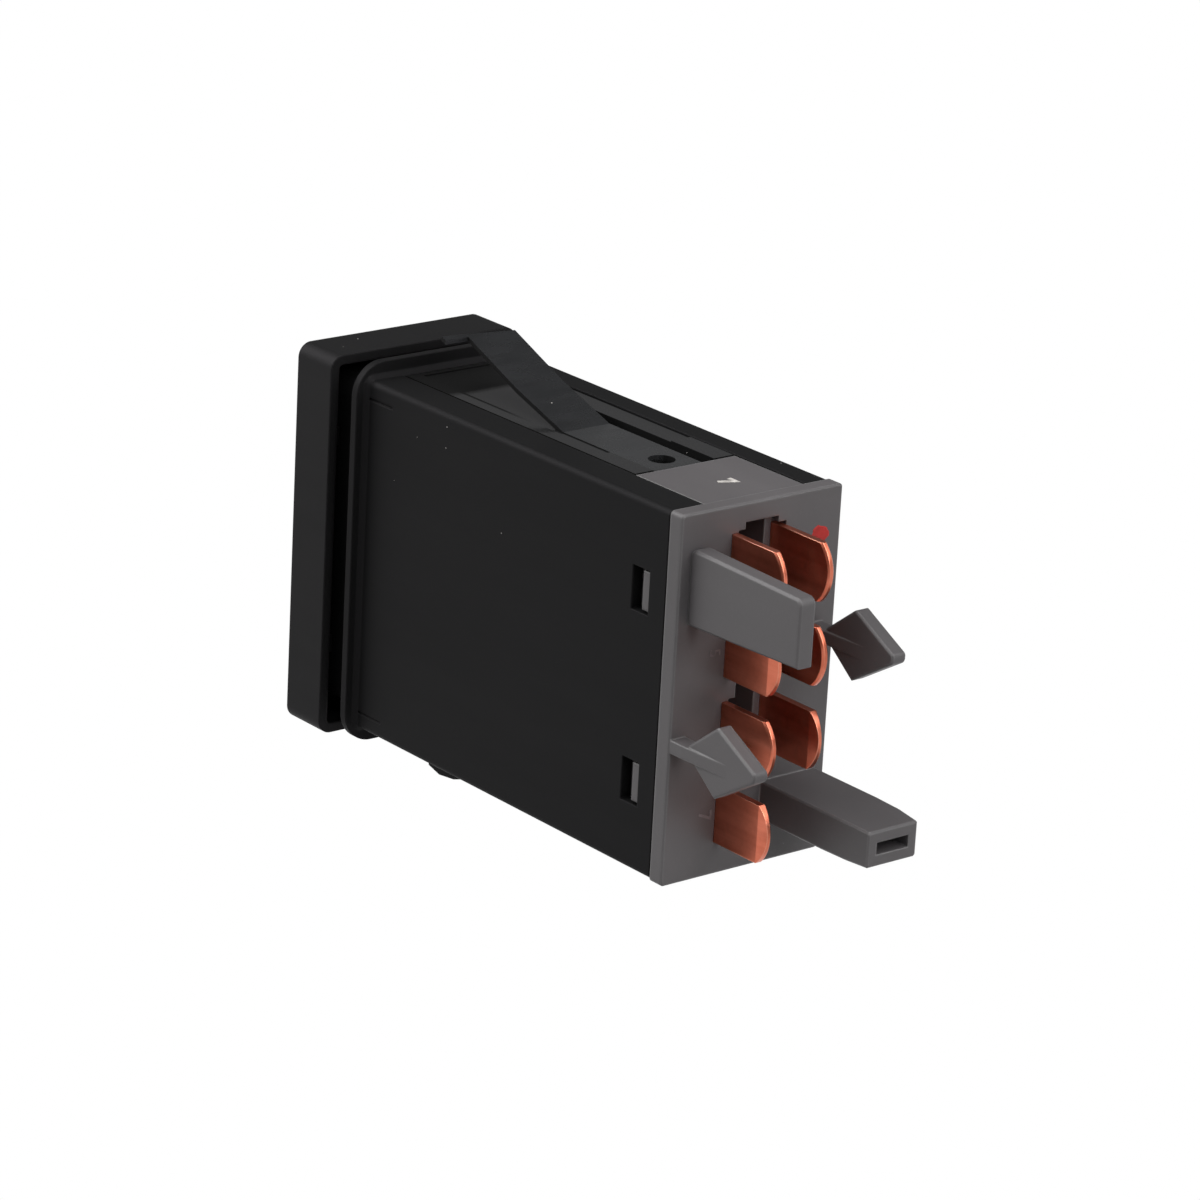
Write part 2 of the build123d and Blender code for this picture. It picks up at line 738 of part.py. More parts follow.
# Relay core: an iron pin with a pole head at the armature's end
pole_face = bobbin_front - core_head_length
with BuildPart() as relay_core:
    with BuildSketch(section_at(pole_face)):
        with Locations((relay_x, relay_z)):
            Circle(core_head / 2)
    extrude(amount=-core_head_length)
    with BuildSketch(section_at(bobbin_front)):
        with Locations((relay_x, relay_z)):
            Circle(core_diameter / 2)
    extrude(amount=-(bobbin_length + yoke_thickness))
relay_core.part.label = "relay_core"
export_step(relay_core.part, "parts/relay_core.step")

# Relay yoke: an angle of iron behind and above the coil, staked into the board
yoke_bottom = relay_z - armature_foot
yoke_under = relay_z + bobbin_flange / 2 + yoke_gap
yoke_top = yoke_under + yoke_thickness
armature_rear = pole_face - armature_gap
with BuildPart() as relay_yoke:
    with BuildSketch(side_at(relay_x - yoke_width / 2)):
        with BuildLine():
            Polyline(
                (bobbin_rear, yoke_bottom),
                (bobbin_rear + yoke_thickness, yoke_bottom),
                (bobbin_rear + yoke_thickness, yoke_top),
                (armature_rear + contact_gap, yoke_top),
                (armature_rear + contact_gap, yoke_under),
                (bobbin_rear, yoke_under),
                close=True,
            )
        make_face()
    extrude(amount=yoke_width)
    fillet(relay_yoke.edges().filter_by(Axis.X).sort_by(Axis.Z)[-1], yoke_thickness / 2)
    with BuildSketch(section_at(bobbin_rear)):
        with Locations((relay_x, relay_z)):
            Circle(core_diameter / 2 + fit_gap)
    extrude(amount=-yoke_thickness, mode=Mode.SUBTRACT)
    with BuildSketch(side_at(relay_x + yoke_width / 2)):
        with Locations((bobbin_rear + yoke_thickness / 2, relay_z)):
            Rectangle(yoke_thickness, tail_height)
    extrude(amount=board_far - relay_x - yoke_width / 2)
relay_yoke.part.label = "relay_yoke"
export_step(relay_yoke.part, "parts/relay_yoke.step")

# Relay armature: a plate that tips on the yoke's front edge
armature_top = yoke_top - contact_gap
with BuildPart() as relay_armature:
    with BuildSketch(section_at(armature_rear - armature_thickness)):
        with Locations((relay_x, (armature_top + yoke_bottom) / 2)):
            Rectangle(armature_width, armature_top - yoke_bottom)
    extrude(amount=-armature_thickness)
    chamfer(relay_armature.edges().filter_by(Axis.Y).sort_by(Axis.Z)[:2], armature_thickness)
relay_armature.part.label = "relay_armature"
export_step(relay_armature.part, "parts/relay_armature.step")

# Moving contact: a springy strip on the armature with a riveted contact at its foot
relay_contact_z = yoke_bottom - relay_contact
with BuildPart() as moving_contact:
    strip_y = armature_rear - armature_thickness - relay_strip_thickness
    strip_top = relay_z + armature_foot / 2
    with BuildSketch(section_at(strip_y)):
        with Locations((relay_x, (strip_top + relay_contact_z - relay_contact / 2) / 2)):
            Rectangle(relay_strip_width, strip_top - relay_contact_z + relay_contact / 2)
    extrude(amount=-relay_strip_thickness)
    with BuildSketch(section_at(strip_y + relay_strip_thickness)):
        with Locations((relay_x, relay_contact_z)):
            Circle(relay_contact / 2)
    extrude(amount=-relay_strip_thickness * 2)
moving_contact.part.label = "moving_contact"
export_step(moving_contact.part, "parts/moving_contact.step")

# Fixed contact: a bracket from the board that the moving contact closes on
lever = yoke_top - relay_contact_z
contact_travel = lever * math.tan(math.radians(armature_swing)) + contact_gap
fixed_face = strip_y + 3 * relay_strip_thickness + contact_travel
with BuildPart() as fixed_contact:
    with BuildSketch(section_at(fixed_face + relay_strip_thickness)):
        with Locations(((relay_x - relay_contact + board_far) / 2, relay_contact_z)):
            Rectangle(board_far - relay_x + relay_contact, relay_contact * 1.3)
    extrude(amount=-2 * relay_strip_thickness)
    with BuildSketch(section_at(fixed_face)):
        with Locations((relay_x, relay_contact_z)):
            Circle(relay_contact / 2)
    extrude(amount=-relay_strip_thickness)
fixed_contact.part.label = "fixed_contact"
export_step(fixed_contact.part, "parts/fixed_contact.step")

# Lamp holder: a flanged socket pushed into the bulkhead from the front
holder_front = bulkhead_front - flange_thickness
with BuildPart() as lamp_holder:
    with BuildSketch(section_at(holder_front)):
        with Locations((0, lamp_z)):
            Circle(holder_flange / 2)
    extrude(amount=-flange_thickness)
    with BuildSketch(section_at(bulkhead_front)):
        with Locations((0, lamp_z)):
            Circle(holder_diameter / 2)
    extrude(amount=-holder_length)
    with BuildSketch(section_at(holder_front)):
        with Locations((0, lamp_z)):
            Circle(lamp_diameter / 2 + fit_gap)
    extrude(amount=-holder_length / 2, mode=Mode.SUBTRACT)
lamp_holder.part.label = "lamp_holder"
export_step(lamp_holder.part, "parts/lamp_holder.step")

# Lamp bulb: a small glass capsule with a tapered nose
bulb_seat = holder_front + holder_length / 2
bulb_tip = bulb_seat - lamp_length
bulb_radius = lamp_diameter / 2
with BuildPart() as lamp_bulb:
    with BuildSketch(Plane.YZ):
        with BuildLine():
            Polyline(
                (bulb_tip, lamp_z),
                (bulb_tip, lamp_z + bulb_nose_radius),
                (bulb_tip + bulb_nose_length, lamp_z + bulb_taper_radius),
                (bulb_tip + bulb_taper_length, lamp_z + bulb_radius),
                (bulb_seat, lamp_z + bulb_radius),
                (bulb_seat, lamp_z),
                close=True,
            )
        make_face()
    revolve(axis=Axis((0, 0, lamp_z), (0, 1, 0)))
lamp_bulb.part.label = "lamp_bulb"
export_step(lamp_bulb.part, "parts/lamp_bulb.step")

# Lamp leads: two strips from the holder's rear into the board
holder_rear = bulkhead_front + holder_length
for name, side in (("lower", -1), ("upper", 1)):
    with BuildPart() as lamp_lead:
        with BuildSketch(section_at(holder_rear)):
            with Locations(((lamp_diameter / 4 + board_far) / 2, lamp_z + side * lamp_diameter / 2)):
                Rectangle(board_far - lamp_diameter / 4, tail_height / 2)
        extrude(amount=-strip_thickness)
    lamp_lead.part.label = f"lamp_lead_{name}"
    export_step(lamp_lead.part, f"parts/lamp_lead_{name}.step")

# Parts on the board: flasher chip, capacitor, shunt wire and small resistors
chip_y = 21.0
chip_z = -1.0
chip_length = 9.0
chip_width = 5.6
chip_height = 3.0
leg_reach = 0.7
leg_pitch = 2.2
leg_width = 0.6
with BuildPart() as flasher_chip:
    with BuildSketch(side_at(board_x)):
        with Locations((chip_y, chip_z)):
            Rectangle(chip_length, chip_width)
    extrude(amount=-chip_height)
    chamfer(flasher_chip.faces().sort_by(Axis.X)[0].edges(), bezel_edge / 2)
    with BuildSketch(side_at(board_x)):
        with Locations((chip_y, chip_z)):
            with GridLocations(leg_pitch, chip_width + leg_reach, 4, 2):
                Rectangle(leg_width, leg_reach)
    extrude(amount=-chip_height / 2)
flasher_chip.part.label = "flasher_chip"
export_step(flasher_chip.part, "parts/flasher_chip.step")

capacitor_y = 21.0
capacitor_z = 13.6
capacitor_diameter = 5.6
capacitor_length = 8.0
with BuildPart() as capacitor:
    with BuildSketch(side_at(board_x)):
        with Locations((capacitor_y, capacitor_z)):
            Circle(capacitor_diameter / 2)
    extrude(amount=-capacitor_length)
    chamfer(capacitor.edges().filter_by(GeomType.CIRCLE), bezel_edge / 2)
capacitor.part.label = "capacitor"
export_step(capacitor.part, "parts/capacitor.step")

shunt_y = 34.0
shunt_z = -1.6
shunt_wire_diameter = 1.2
shunt_span = 8.0
shunt_height = 4.5
with BuildPart() as shunt_wire:
    with BuildLine() as shunt_path:
        FilletPolyline(
            (board_far, shunt_y - shunt_span / 2, shunt_z),
            (board_x - shunt_height, shunt_y - shunt_span / 2, shunt_z),
            (board_x - shunt_height, shunt_y + shunt_span / 2, shunt_z),
            (board_far, shunt_y + shunt_span / 2, shunt_z),
            radius=shunt_wire_diameter,
        )
    with BuildSketch(Plane(origin=shunt_path.line @ 0, z_dir=shunt_path.line % 0)):
        RegularPolygon(shunt_wire_diameter / 2, wire_sides)
    sweep()
shunt_wire.part.label = "shunt_wire"
export_step(shunt_wire.part, "parts/shunt_wire.step")

resistor_length = 3.2
resistor_width = 1.6
resistor_height = 0.7
resistor_front_y = 30.0
resistor_pitch = 4.5
resistor_z = 14.6
for number in range(1, 4):
    with BuildPart() as resistor:
        with BuildSketch(side_at(board_x)):
            with Locations((resistor_front_y + (number - 1) * resistor_pitch, resistor_z)):
                Rectangle(resistor_length, resistor_width)
        extrude(amount=-resistor_height)
    resistor.part.label = f"resistor_{number}"
    export_step(resistor.part, f"parts/resistor_{number}.step")


def tail_place(column_x, row_z):
    # Depth and height of the blade's tail where it crosses to the board
    if column_x == near_column_x:
        return near_blade_front, row_z + tail_offset
    return far_blade_front, row_z - tail_offset


# Circuit board with holes for the blade tails, the relay's leads and the shunt
shunt_hole = shunt_wire_diameter + 2 * fit_gap
with BuildPart() as circuit_board:
    with BuildSketch(side_at(board_x)):
        with Locations(((board_front + board_rear) / 2, 0)):
            Rectangle(board_rear - board_front, 2 * board_half_height)
        for column_x, row_z in blade_places:
            tail_y, tail_z = tail_place(column_x, row_z)
            with Locations((tail_y + blade_thickness / 2, tail_z)):
                Rectangle(blade_thickness + 2 * fit_gap, tail_height + 2 * fit_gap, mode=Mode.SUBTRACT)
        with Locations((bobbin_rear + yoke_thickness / 2, relay_z)):
            Rectangle(yoke_thickness + 2 * fit_gap, tail_height + 2 * fit_gap, mode=Mode.SUBTRACT)
        with Locations((fixed_face + 2 * relay_strip_thickness, relay_contact_z)):
            Rectangle(
                2 * relay_strip_thickness + 2 * fit_gap,
                relay_contact * 1.3 + 2 * fit_gap,
                mode=Mode.SUBTRACT,
            )
        for side in (-1, 1):
            with Locations((pin_y, relay_z + side * pin_offset)):
                Rectangle(pin_width + 2 * fit_gap, pin_width + 2 * fit_gap, mode=Mode.SUBTRACT)
            with Locations((shunt_y + side * shunt_span / 2, shunt_z)):
                Rectangle(shunt_hole, shunt_hole, mode=Mode.SUBTRACT)
            with Locations((holder_rear + strip_thickness / 2, lamp_z + side * lamp_diameter / 2)):
                Rectangle(strip_thickness + 2 * fit_gap, tail_height / 2 + 2 * fit_gap, mode=Mode.SUBTRACT)
    extrude(amount=board_thickness)
circuit_board.part.label = "circuit_board"
export_step(circuit_board.part, "parts/circuit_board.step")

# Blade terminals: stamped strips with a curved tip and a tail folded to the board,
# three of them with a wedge at the tip and the others with a bevel round its curve
for number, (column_x, row_z) in enumerate(blade_places, start=1):
    with BuildPart() as blade:
        tail_y, tail_z = tail_place(column_x, row_z)
        shoulder_y = base_rear + blade_shoulder
        half_blade = blade_width / 2
        with BuildSketch(side_at(column_x - blade_thickness / 2)):
            with BuildLine():
                Line((shoulder_y, row_z + half_blade), (tail_y, row_z + half_blade))
                Line((tail_y, row_z + half_blade), (tail_y, row_z - half_blade))
                Line((tail_y, row_z - half_blade), (shoulder_y, row_z - half_blade))
                ThreePointArc(
                    (shoulder_y, row_z - half_blade),
                    (shoulder_y + blade_tip, row_z),
                    (shoulder_y, row_z + half_blade),
                )
            make_face()
        extrude(amount=blade_thickness)
        if number in coined_blades:
            # Tip pressed to a wedge from both faces
            tip_y = shoulder_y + blade_tip
            with BuildSketch(Plane.XY.offset(row_z - half_blade)):
                for side in (-1, 1):
                    face_x = column_x + side * blade_thickness / 2
                    with BuildLine():
                        Polyline(
                            (face_x, shoulder_y),
                            (face_x, tip_y),
                            (face_x - side * blade_coin, tip_y),
                            close=True,
                        )
                    make_face()
            extrude(amount=blade_width, mode=Mode.SUBTRACT)
        else:
            chamfer(blade.edges().filter_by(GeomType.CIRCLE), blade_coin)
        with BuildSketch(side_at(column_x + blade_thickness / 2)):
            with Locations((tail_y + blade_thickness / 2, tail_z)):
                Rectangle(blade_thickness, tail_height)
        extrude(amount=board_far - column_x - blade_thickness / 2)
    blade.part.label = f"blade_{number}"
    export_step(blade.part, f"parts/blade_{number}.step")


def post_outline(side_taper, height_taper):
    # Section of the hollow post with bevelled corners, drawn in at its far side and underneath
    width = post_width - side_taper
    height = post_height - height_taper
    with Locations((post_near - width / 2, post_top - height / 2)):
        section = Rectangle(width, height)
    chamfer(section.vertices(), post_edge)


# Terminal base: rear plate, plug, tongue in the channel, snap tabs, key, post and hooks
with BuildPart() as terminal_base:
    with BuildSketch(section_at(base_front)):
        RectangleRounded(housing_width + 2 * base_lip, housing_height + 2 * base_lip, base_corner)
    extrude(amount=-base_thickness)
    chamfer(terminal_base.faces().sort_by(Axis.Y)[-1].edges(), base_edge)
    with BuildSketch(section_at(plug_front)):
        Rectangle(inner_width - 2 * plug_gap, inner_height - 2 * plug_gap)
    extrude(amount=-(base_front - plug_front))
    with BuildSketch(Plane.XY.offset(half_height - tongue_thickness)):
        with Locations(((tongue_near + tongue_far) / 2, (tongue_front + base_front) / 2)):
            Rectangle(tongue_near - tongue_far, base_front - tongue_front)
    extrude(amount=tongue_thickness)
    # Snap tabs that show in the sleeve's windows
    tab_root = inner_width / 2 - plug_gap
    tab_rear = window_front + window_length
    for side in (-1, 1):
        for level in (-1, 1):
            with BuildSketch(Plane.XY.offset(level * window_z - tab_height / 2)):
                with BuildLine():
                    Polyline(
                        (side * tab_root, tab_rear - tab_length - tab_ramp),
                        (side * (tab_root + tab_reach), tab_rear - tab_length),
                        (side * (tab_root + tab_reach), tab_rear - fit_gap),
                        (side * tab_root, tab_rear - fit_gap),
                        close=True,
                    )
                make_face()
            extrude(amount=tab_height)
    # Deep wells between the columns, open to the near blades from just above their tops
    well_spans = ((well_top_z, well_height_top, row_heights[0]), (well_low_z, well_height_low, row_heights[2]))
    far_face_x = far_column_x + blade_thickness / 2
    near_face_x = near_column_x - blade_thickness / 2
    well_far_x = far_face_x + well_rib
    with BuildSketch(section_at(base_rear)):
        for well_z, well_size, row_z in well_spans:
            with Locations(((well_near_x + well_far_x) / 2, well_z - well_size / 2)):
                Rectangle(well_near_x - well_far_x, well_size)
            notch_top = row_z + blade_width / 2 + well_notch
            notch_size = notch_top - well_z + well_size
            with Locations(((near_face_x + well_near_x) / 2, notch_top - notch_size / 2)):
                Rectangle(near_face_x - well_near_x, notch_size)
    extrude(amount=well_depth, mode=Mode.SUBTRACT)
    # Shallow ledge beside the far blades and a notch over the upper one
    with BuildSketch(section_at(base_rear)):
        for well_z, well_size, row_z in well_spans:
            with Locations(((far_face_x + well_far_x) / 2, well_z - well_size / 2)):
                Rectangle(well_rib, well_size)
        with Locations((far_column_x, (row_heights[0] + far_notch_top) / 2)):
            Rectangle(far_notch_width, far_notch_top - row_heights[0])
    extrude(amount=well_ledge_depth, mode=Mode.SUBTRACT)
    # Slots for the blades, a hair wider than the blades
    with BuildSketch(section_at(plug_front)):
        for column_x, row_z in blade_places:
            with Locations((column_x, row_z)):
                Rectangle(blade_thickness + 2 * blade_slot_gap, blade_width + 2 * blade_slot_gap)
    extrude(amount=-(base_rear - plug_front), mode=Mode.SUBTRACT)
    # Hollow post that takes the place of the eighth blade, drawn in towards its end
    with BuildSketch(section_at(base_rear)):
        post_outline(0, 0)
    extrude(amount=-post_stations[0][0])
    for station_y, side_taper, height_taper in post_stations:
        with BuildSketch(section_at(base_rear + station_y)):
            post_outline(side_taper, height_taper)
    loft(ruled=True)
    chamfer(terminal_base.faces().sort_by(Axis.Y)[-1].edges(), post_edge)
    post_length, side_taper, height_taper = post_stations[-1]
    with BuildSketch(section_at(base_rear + post_length)):
        with Locations((post_near - (post_width - side_taper) / 2, post_top - (post_height - height_taper) / 2)):
            Rectangle(post_hole_width, post_hole_height)
    extrude(amount=post_hole_depth, mode=Mode.SUBTRACT)
    # Guide key: a tapered slab near the near edge, bevelled round its outer face
    with BuildSketch(side_at(key_near - key_thickness)) as key_profile:
        with BuildLine():
            Polyline(
                (base_rear, key_root_top),
                (base_rear + key_length, key_tip_top),
                (base_rear + key_length, key_tip_bottom),
                (base_rear, key_root_bottom),
                close=True,
            )
        make_face()
        fillet(key_profile.vertices().sort_by(Axis.Y)[-2:], key_round)
    extrude(amount=key_thickness - key_edge)
    key_face = terminal_base.faces(Select.LAST).sort_by(Axis.X)[-1]
    extrude(key_face, amount=key_edge, taper=45)
    # Arrow-shaped hooks that hold the cable connector, each on a stem that fades into its head
    for hook_x, hook_z in ((near_hook_x, near_hook_z), (far_hook_x, far_hook_z)):
        inner_x = hook_x - hook_thickness
        with BuildSketch(side_at(inner_x)) as head_profile:
            with BuildLine():
                Polyline(
                    (base_rear + hook_start, hook_z),
                    (base_rear + hook_mid, hook_z + hook_rise),
                    (base_rear + hook_length, hook_z + hook_tip_rise + hook_tip / 2),
                    (base_rear + hook_length, hook_z + hook_tip_rise - hook_tip / 2),
                    (base_rear + hook_mid, hook_z - hook_rise),
                    close=True,
                )
            make_face()
            fillet(head_profile.vertices().sort_by(Axis.Y)[1:3], hook_round)
            fillet(head_profile.vertices().sort_by(Axis.Y)[-2:], hook_round / 2)
        extrude(amount=hook_thickness)
        chamfer(terminal_base.faces(Select.LAST).sort_by(Axis.X)[-1].edges(), hook_edge)
        with BuildSketch(Plane.XY.offset(hook_z - hook_stem_drop - hook_stem / 2)):
            with BuildLine():
                Polyline(
                    (inner_x, base_rear),
                    (hook_x + hook_proud, base_rear),
                    (hook_x + hook_proud, base_rear + hook_start),
                    (hook_x, base_rear + hook_ridge),
                    (inner_x, base_rear + hook_ridge),
                    close=True,
                )
            make_face()
        extrude(amount=hook_stem)
terminal_base.part.label = "terminal_base"
export_step(terminal_base.part, "parts/terminal_base.step")
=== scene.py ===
import bpy
import bmesh
import json
import math
import random
from mathutils import Matrix, Vector


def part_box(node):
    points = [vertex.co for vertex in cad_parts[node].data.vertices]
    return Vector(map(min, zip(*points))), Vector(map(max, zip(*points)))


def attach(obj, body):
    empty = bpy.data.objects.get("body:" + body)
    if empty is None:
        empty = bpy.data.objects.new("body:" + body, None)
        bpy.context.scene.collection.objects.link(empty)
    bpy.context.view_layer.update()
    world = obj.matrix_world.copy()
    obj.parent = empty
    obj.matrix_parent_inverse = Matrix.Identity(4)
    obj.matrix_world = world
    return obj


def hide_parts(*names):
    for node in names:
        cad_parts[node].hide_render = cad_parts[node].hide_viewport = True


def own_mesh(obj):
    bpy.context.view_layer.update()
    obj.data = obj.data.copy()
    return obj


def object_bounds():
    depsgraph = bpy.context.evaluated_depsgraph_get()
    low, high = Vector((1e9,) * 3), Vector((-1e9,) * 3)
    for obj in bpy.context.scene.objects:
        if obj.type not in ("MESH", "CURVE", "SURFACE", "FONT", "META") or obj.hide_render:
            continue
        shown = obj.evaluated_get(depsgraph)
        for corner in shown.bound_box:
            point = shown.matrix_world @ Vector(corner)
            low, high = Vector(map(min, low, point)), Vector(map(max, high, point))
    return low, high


# Hazard warning switch, seen from its terminal side: looks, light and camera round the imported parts.

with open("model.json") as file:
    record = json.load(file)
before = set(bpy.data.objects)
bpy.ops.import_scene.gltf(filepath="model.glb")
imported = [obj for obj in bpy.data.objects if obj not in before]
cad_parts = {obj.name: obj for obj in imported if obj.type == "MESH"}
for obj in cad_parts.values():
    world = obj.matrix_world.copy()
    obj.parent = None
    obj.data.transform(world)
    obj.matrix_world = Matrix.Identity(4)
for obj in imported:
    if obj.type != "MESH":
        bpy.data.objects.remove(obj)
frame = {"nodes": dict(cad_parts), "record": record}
nodes = frame["nodes"]
cadLow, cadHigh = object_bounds()
mm = 0.001
print("parts loaded:", len(nodes))


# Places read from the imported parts

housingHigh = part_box("housing")[1]
springLow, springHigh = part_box("return_spring")
coilLow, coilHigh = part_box("relay_coil")
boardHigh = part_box("circuit_board")[1]
bulbLow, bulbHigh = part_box("lamp_bulb")
chipLow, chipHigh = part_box("flasher_chip")
rearFace = 57.5 * mm  # the base's outer face, behind the blades' shoulders
topFace = housingHigh.z - 1.8 * mm  # the base's tongue lies level with the sleeve's top


# Shader maths

class Value:
    def __init__(self, recipe, socket):
        self.recipe = recipe
        self.socket = socket

    def sums(self, operation, first, second):
        return self.recipe.add("ShaderNodeMath", {"operation": operation}, {0: first, 1: second})

    def __add__(self, other):
        return self.sums("ADD", self, other)

    def __radd__(self, other):
        return self.sums("ADD", other, self)

    def __sub__(self, other):
        return self.sums("SUBTRACT", self, other)

    def __rsub__(self, other):
        return self.sums("SUBTRACT", other, self)

    def __mul__(self, other):
        return self.sums("MULTIPLY", self, other)

    def __rmul__(self, other):
        return self.sums("MULTIPLY", other, self)

    def __gt__(self, other):
        return self.sums("GREATER_THAN", self, other)

    def __lt__(self, other):
        return self.sums("LESS_THAN", self, other)

    def clamped(self):
        settings = {"operation": "ADD", "use_clamp": True}
        return self.recipe.add("ShaderNodeMath", settings, {0: self, 1: 0.0})

    def output(self, name):
        return Value(self.recipe, self.socket.node.outputs[name])


class Recipe:
    def __init__(self, name):
        self.material = bpy.data.materials.new(name)
        self.material.use_nodes = True
        self.tree = self.material.node_tree
        self.tree.nodes.clear()
        self.place = self.add("ShaderNodeTexCoord").output("Object")

    def add(self, kind, settings=None, sockets=None, output=0):
        made = self.tree.nodes.new(kind)
        for name, setting in (settings or {}).items():
            setattr(made, name, setting)
        for name, given in (sockets or {}).items():
            if isinstance(given, Value):
                self.tree.links.new(given.socket, made.inputs[name])
            else:
                made.inputs[name].default_value = given
        return Value(self, made.outputs[output])

    def noise(self, scale, detail, stretch=(1, 1, 1), rough=0.5):
        where = self.place
        if stretch != (1, 1, 1):
            where = self.add("ShaderNodeMapping", None, {"Vector": self.place, "Scale": stretch})
        sockets = {"Vector": where, "Scale": scale, "Detail": detail, "Roughness": rough}
        return self.add("ShaderNodeTexNoise", None, sockets)

    def between(self, value, low, high):
        sockets = {"Value": value, "From Min": low, "From Max": high}
        return self.add("ShaderNodeMapRange", {"clamp": True}, sockets)

    def mix(self, mask, first, second):
        sockets = {0: mask, 6: first, 7: second}
        return self.add("ShaderNodeMix", {"data_type": "RGBA"}, sockets, output=2)

    def bevel(self, radius):
        return self.add("ShaderNodeBevel", {"samples": 6}, {"Radius": radius})

    def edgeHighlightAndSawnEdge(self, colour, bevel, look):
        # the colour, with its edges taken towards the edge colour: a painted highlight on most finishes, the paler
        # sawn edge on the board
        flat = self.add("ShaderNodeNewGeometry").output("True Normal")
        along = self.add("ShaderNodeVectorMath", {"operation": "DOT_PRODUCT"}, {0: bevel, 1: flat})
        edge = ((1 - along.output("Value")) * look["edgeGain"]).clamped()
        return self.mix(edge * look["edgeShare"], colour, look["edgeColour"])

    def specks(self, scale, size, share):
        cells = self.add("ShaderNodeTexVoronoi", None, {"Vector": self.place, "Scale": scale})
        pick = self.add("ShaderNodeSeparateColor", None, {"Color": cells.output("Color")})
        return (cells < size) * (pick > 1 - share)

    def bump(self, height, amount, normal=None):
        strength, distance = amount
        sockets = {"Height": height, "Strength": strength, "Distance": distance}
        if normal:
            sockets["Normal"] = normal
        return self.add("ShaderNodeBump", None, sockets)

    def sideways(self):
        # 1 on faces that look to either side, 0 on the others; the frame and the leaf paint shade there
        flat = self.add("ShaderNodeNewGeometry").output("True Normal")
        x = self.add("ShaderNodeSeparateXYZ", None, {"Vector": flat}).output("X")
        return self.between(x * x, 0.4, 0.6)

    def finish(self, sockets, paintedShade=None, mask=None):
        surface = self.add("ShaderNodeBsdfPrincipled", None, sockets)
        if paintedShade:
            flat = self.add("ShaderNodeBsdfPrincipled", None, paintedShade)
            surface = self.add("ShaderNodeMixShader", None, {0: mask, 1: surface, 2: flat})
        end = self.tree.nodes.new("ShaderNodeOutputMaterial")
        self.tree.links.new(surface.socket, end.inputs["Surface"])
        return self.material


def grey(level, warm=0.0):
    return (level * (1 + warm), level, level * (1 - warm), 1.0)


def rose(level):
    return (level * 1.06, level * 0.985, level * 1.02, 1.0)


# In the finishes below a noise is given as its scale, detail, stretch and roughness, dust as its scale, size and
# share, a bump as its strength and depth, and a range as its low and high end.

# Moulded black of the bezel, the sleeve and the button, its edges lightened as a painted highlight

sleeveLook = {
    "cloud": (70.0, 3.0), "dark": grey(0.0034, -0.02), "light": grey(0.0046, -0.02),
    # edge colour: a painted highlight
    "edge": 0.25 * mm, "edgeGain": 3.0, "edgeShare": 0.12, "edgeColour": grey(0.03),
    "dust": (420.0, 0.045, 0.03), "dustShare": 0.8, "dustColour": grey(0.4, 0.02),
    "rub": (260.0, 4.0, (1, 0.15, 1)), "rough": 0.57, "roughSpread": 0.14,
    "grain": (5200.0, 2.0), "bump": (0.2, 0.03 * mm), "gloss": 0.084, "tint": (1.0, 0.94, 1.0, 1),
}
bezelLook = dict(sleeveLook, gloss=0.125, edge=0.3 * mm)
buttonLook = dict(sleeveLook, edgeShare=0.3, rough=0.36, gloss=0.4, bump=(0.12, 0.03 * mm), edge=0.3 * mm)


def mouldedBlack(name, look):
    r = Recipe(name)
    colour = r.mix(r.noise(*look["cloud"]), look["dark"], look["light"])
    bevel = r.bevel(look["edge"])
    colour = r.edgeHighlightAndSawnEdge(colour, bevel, look)
    colour = r.mix(r.specks(*look["dust"]) * look["dustShare"], colour, look["dustColour"])
    rough = look["rough"] + (r.noise(*look["rub"]) - 0.5) * look["roughSpread"]
    normal = r.bump(r.noise(*look["grain"]), look["bump"], bevel)
    return r.finish({
        "Base Color": colour, "Roughness": rough.clamped(), "Normal": normal,
        "Specular IOR Level": look["gloss"], "Specular Tint": look["tint"],
    })


# Satin black of the frame in the channel, with painted shade on its side faces, over a patch at its front and
# along a line by the near rail: a darker, matt finish mixed in there

frameLook = {
    "cloud": (70.0, 3.0), "dark": grey(0.0055, -0.02), "light": grey(0.0083, -0.02),
    "rub": (260.0, 4.0, (1, 0.15, 1)), "rough": 0.17, "roughSpread": 0.06, "bump": (0.02, 0.02 * mm),
    "gloss": 0.57, "tint": (0.95, 0.9, 1.0, 1),
    # the front patch and the rail line below are painted shade, dark and matt
    "pitShade": (12.0 * mm, 13.4 * mm), "pitShadeWaver": 2.0 * mm,
    "grooveShade": 4.35 * mm, "grooveShadeWidth": (0.15 * mm, 0.4 * mm), "grooveShadeEnd": (20.0 * mm, 25.0 * mm),
    # the darker, matt finish that paints the shade
    "paintedShade": {"Base Color": grey(0.0035), "Roughness": 0.6, "Specular IOR Level": 0.07},
}


def satinFrame(name, look):
    r = Recipe(name)
    cloud = r.noise(*look["cloud"])
    colour = r.mix(cloud, look["dark"], look["light"])
    rub = r.noise(*look["rub"])
    rough = look["rough"] + (rub - 0.5) * look["roughSpread"]
    spot = r.add("ShaderNodeSeparateXYZ", None, {"Vector": r.place})
    x, y = spot.output("X"), spot.output("Y")
    # painted shade: a dark patch across the frame's front, its edge wavering
    pitShade = 1 - r.between(y + (cloud - 0.5) * look["pitShadeWaver"], *look["pitShade"])
    # painted shade: a dark line along the near rail, ending towards the back
    aside = (x - look["grooveShade"]) * (x - look["grooveShade"])
    narrow, wide = look["grooveShadeWidth"]
    grooveShade = (1 - r.between(aside, narrow * narrow, wide * wide)) * (1 - r.between(y, *look["grooveShadeEnd"]))
    # where the painted shade goes: side faces, front patch and rail line
    mask = (r.sideways() + pitShade + grooveShade).clamped()
    return r.finish({
        "Base Color": colour, "Roughness": rough.clamped(), "Normal": r.bump(rub, look["bump"]),
        "Specular IOR Level": look["gloss"], "Specular Tint": look["tint"],
    }, look["paintedShade"], mask)
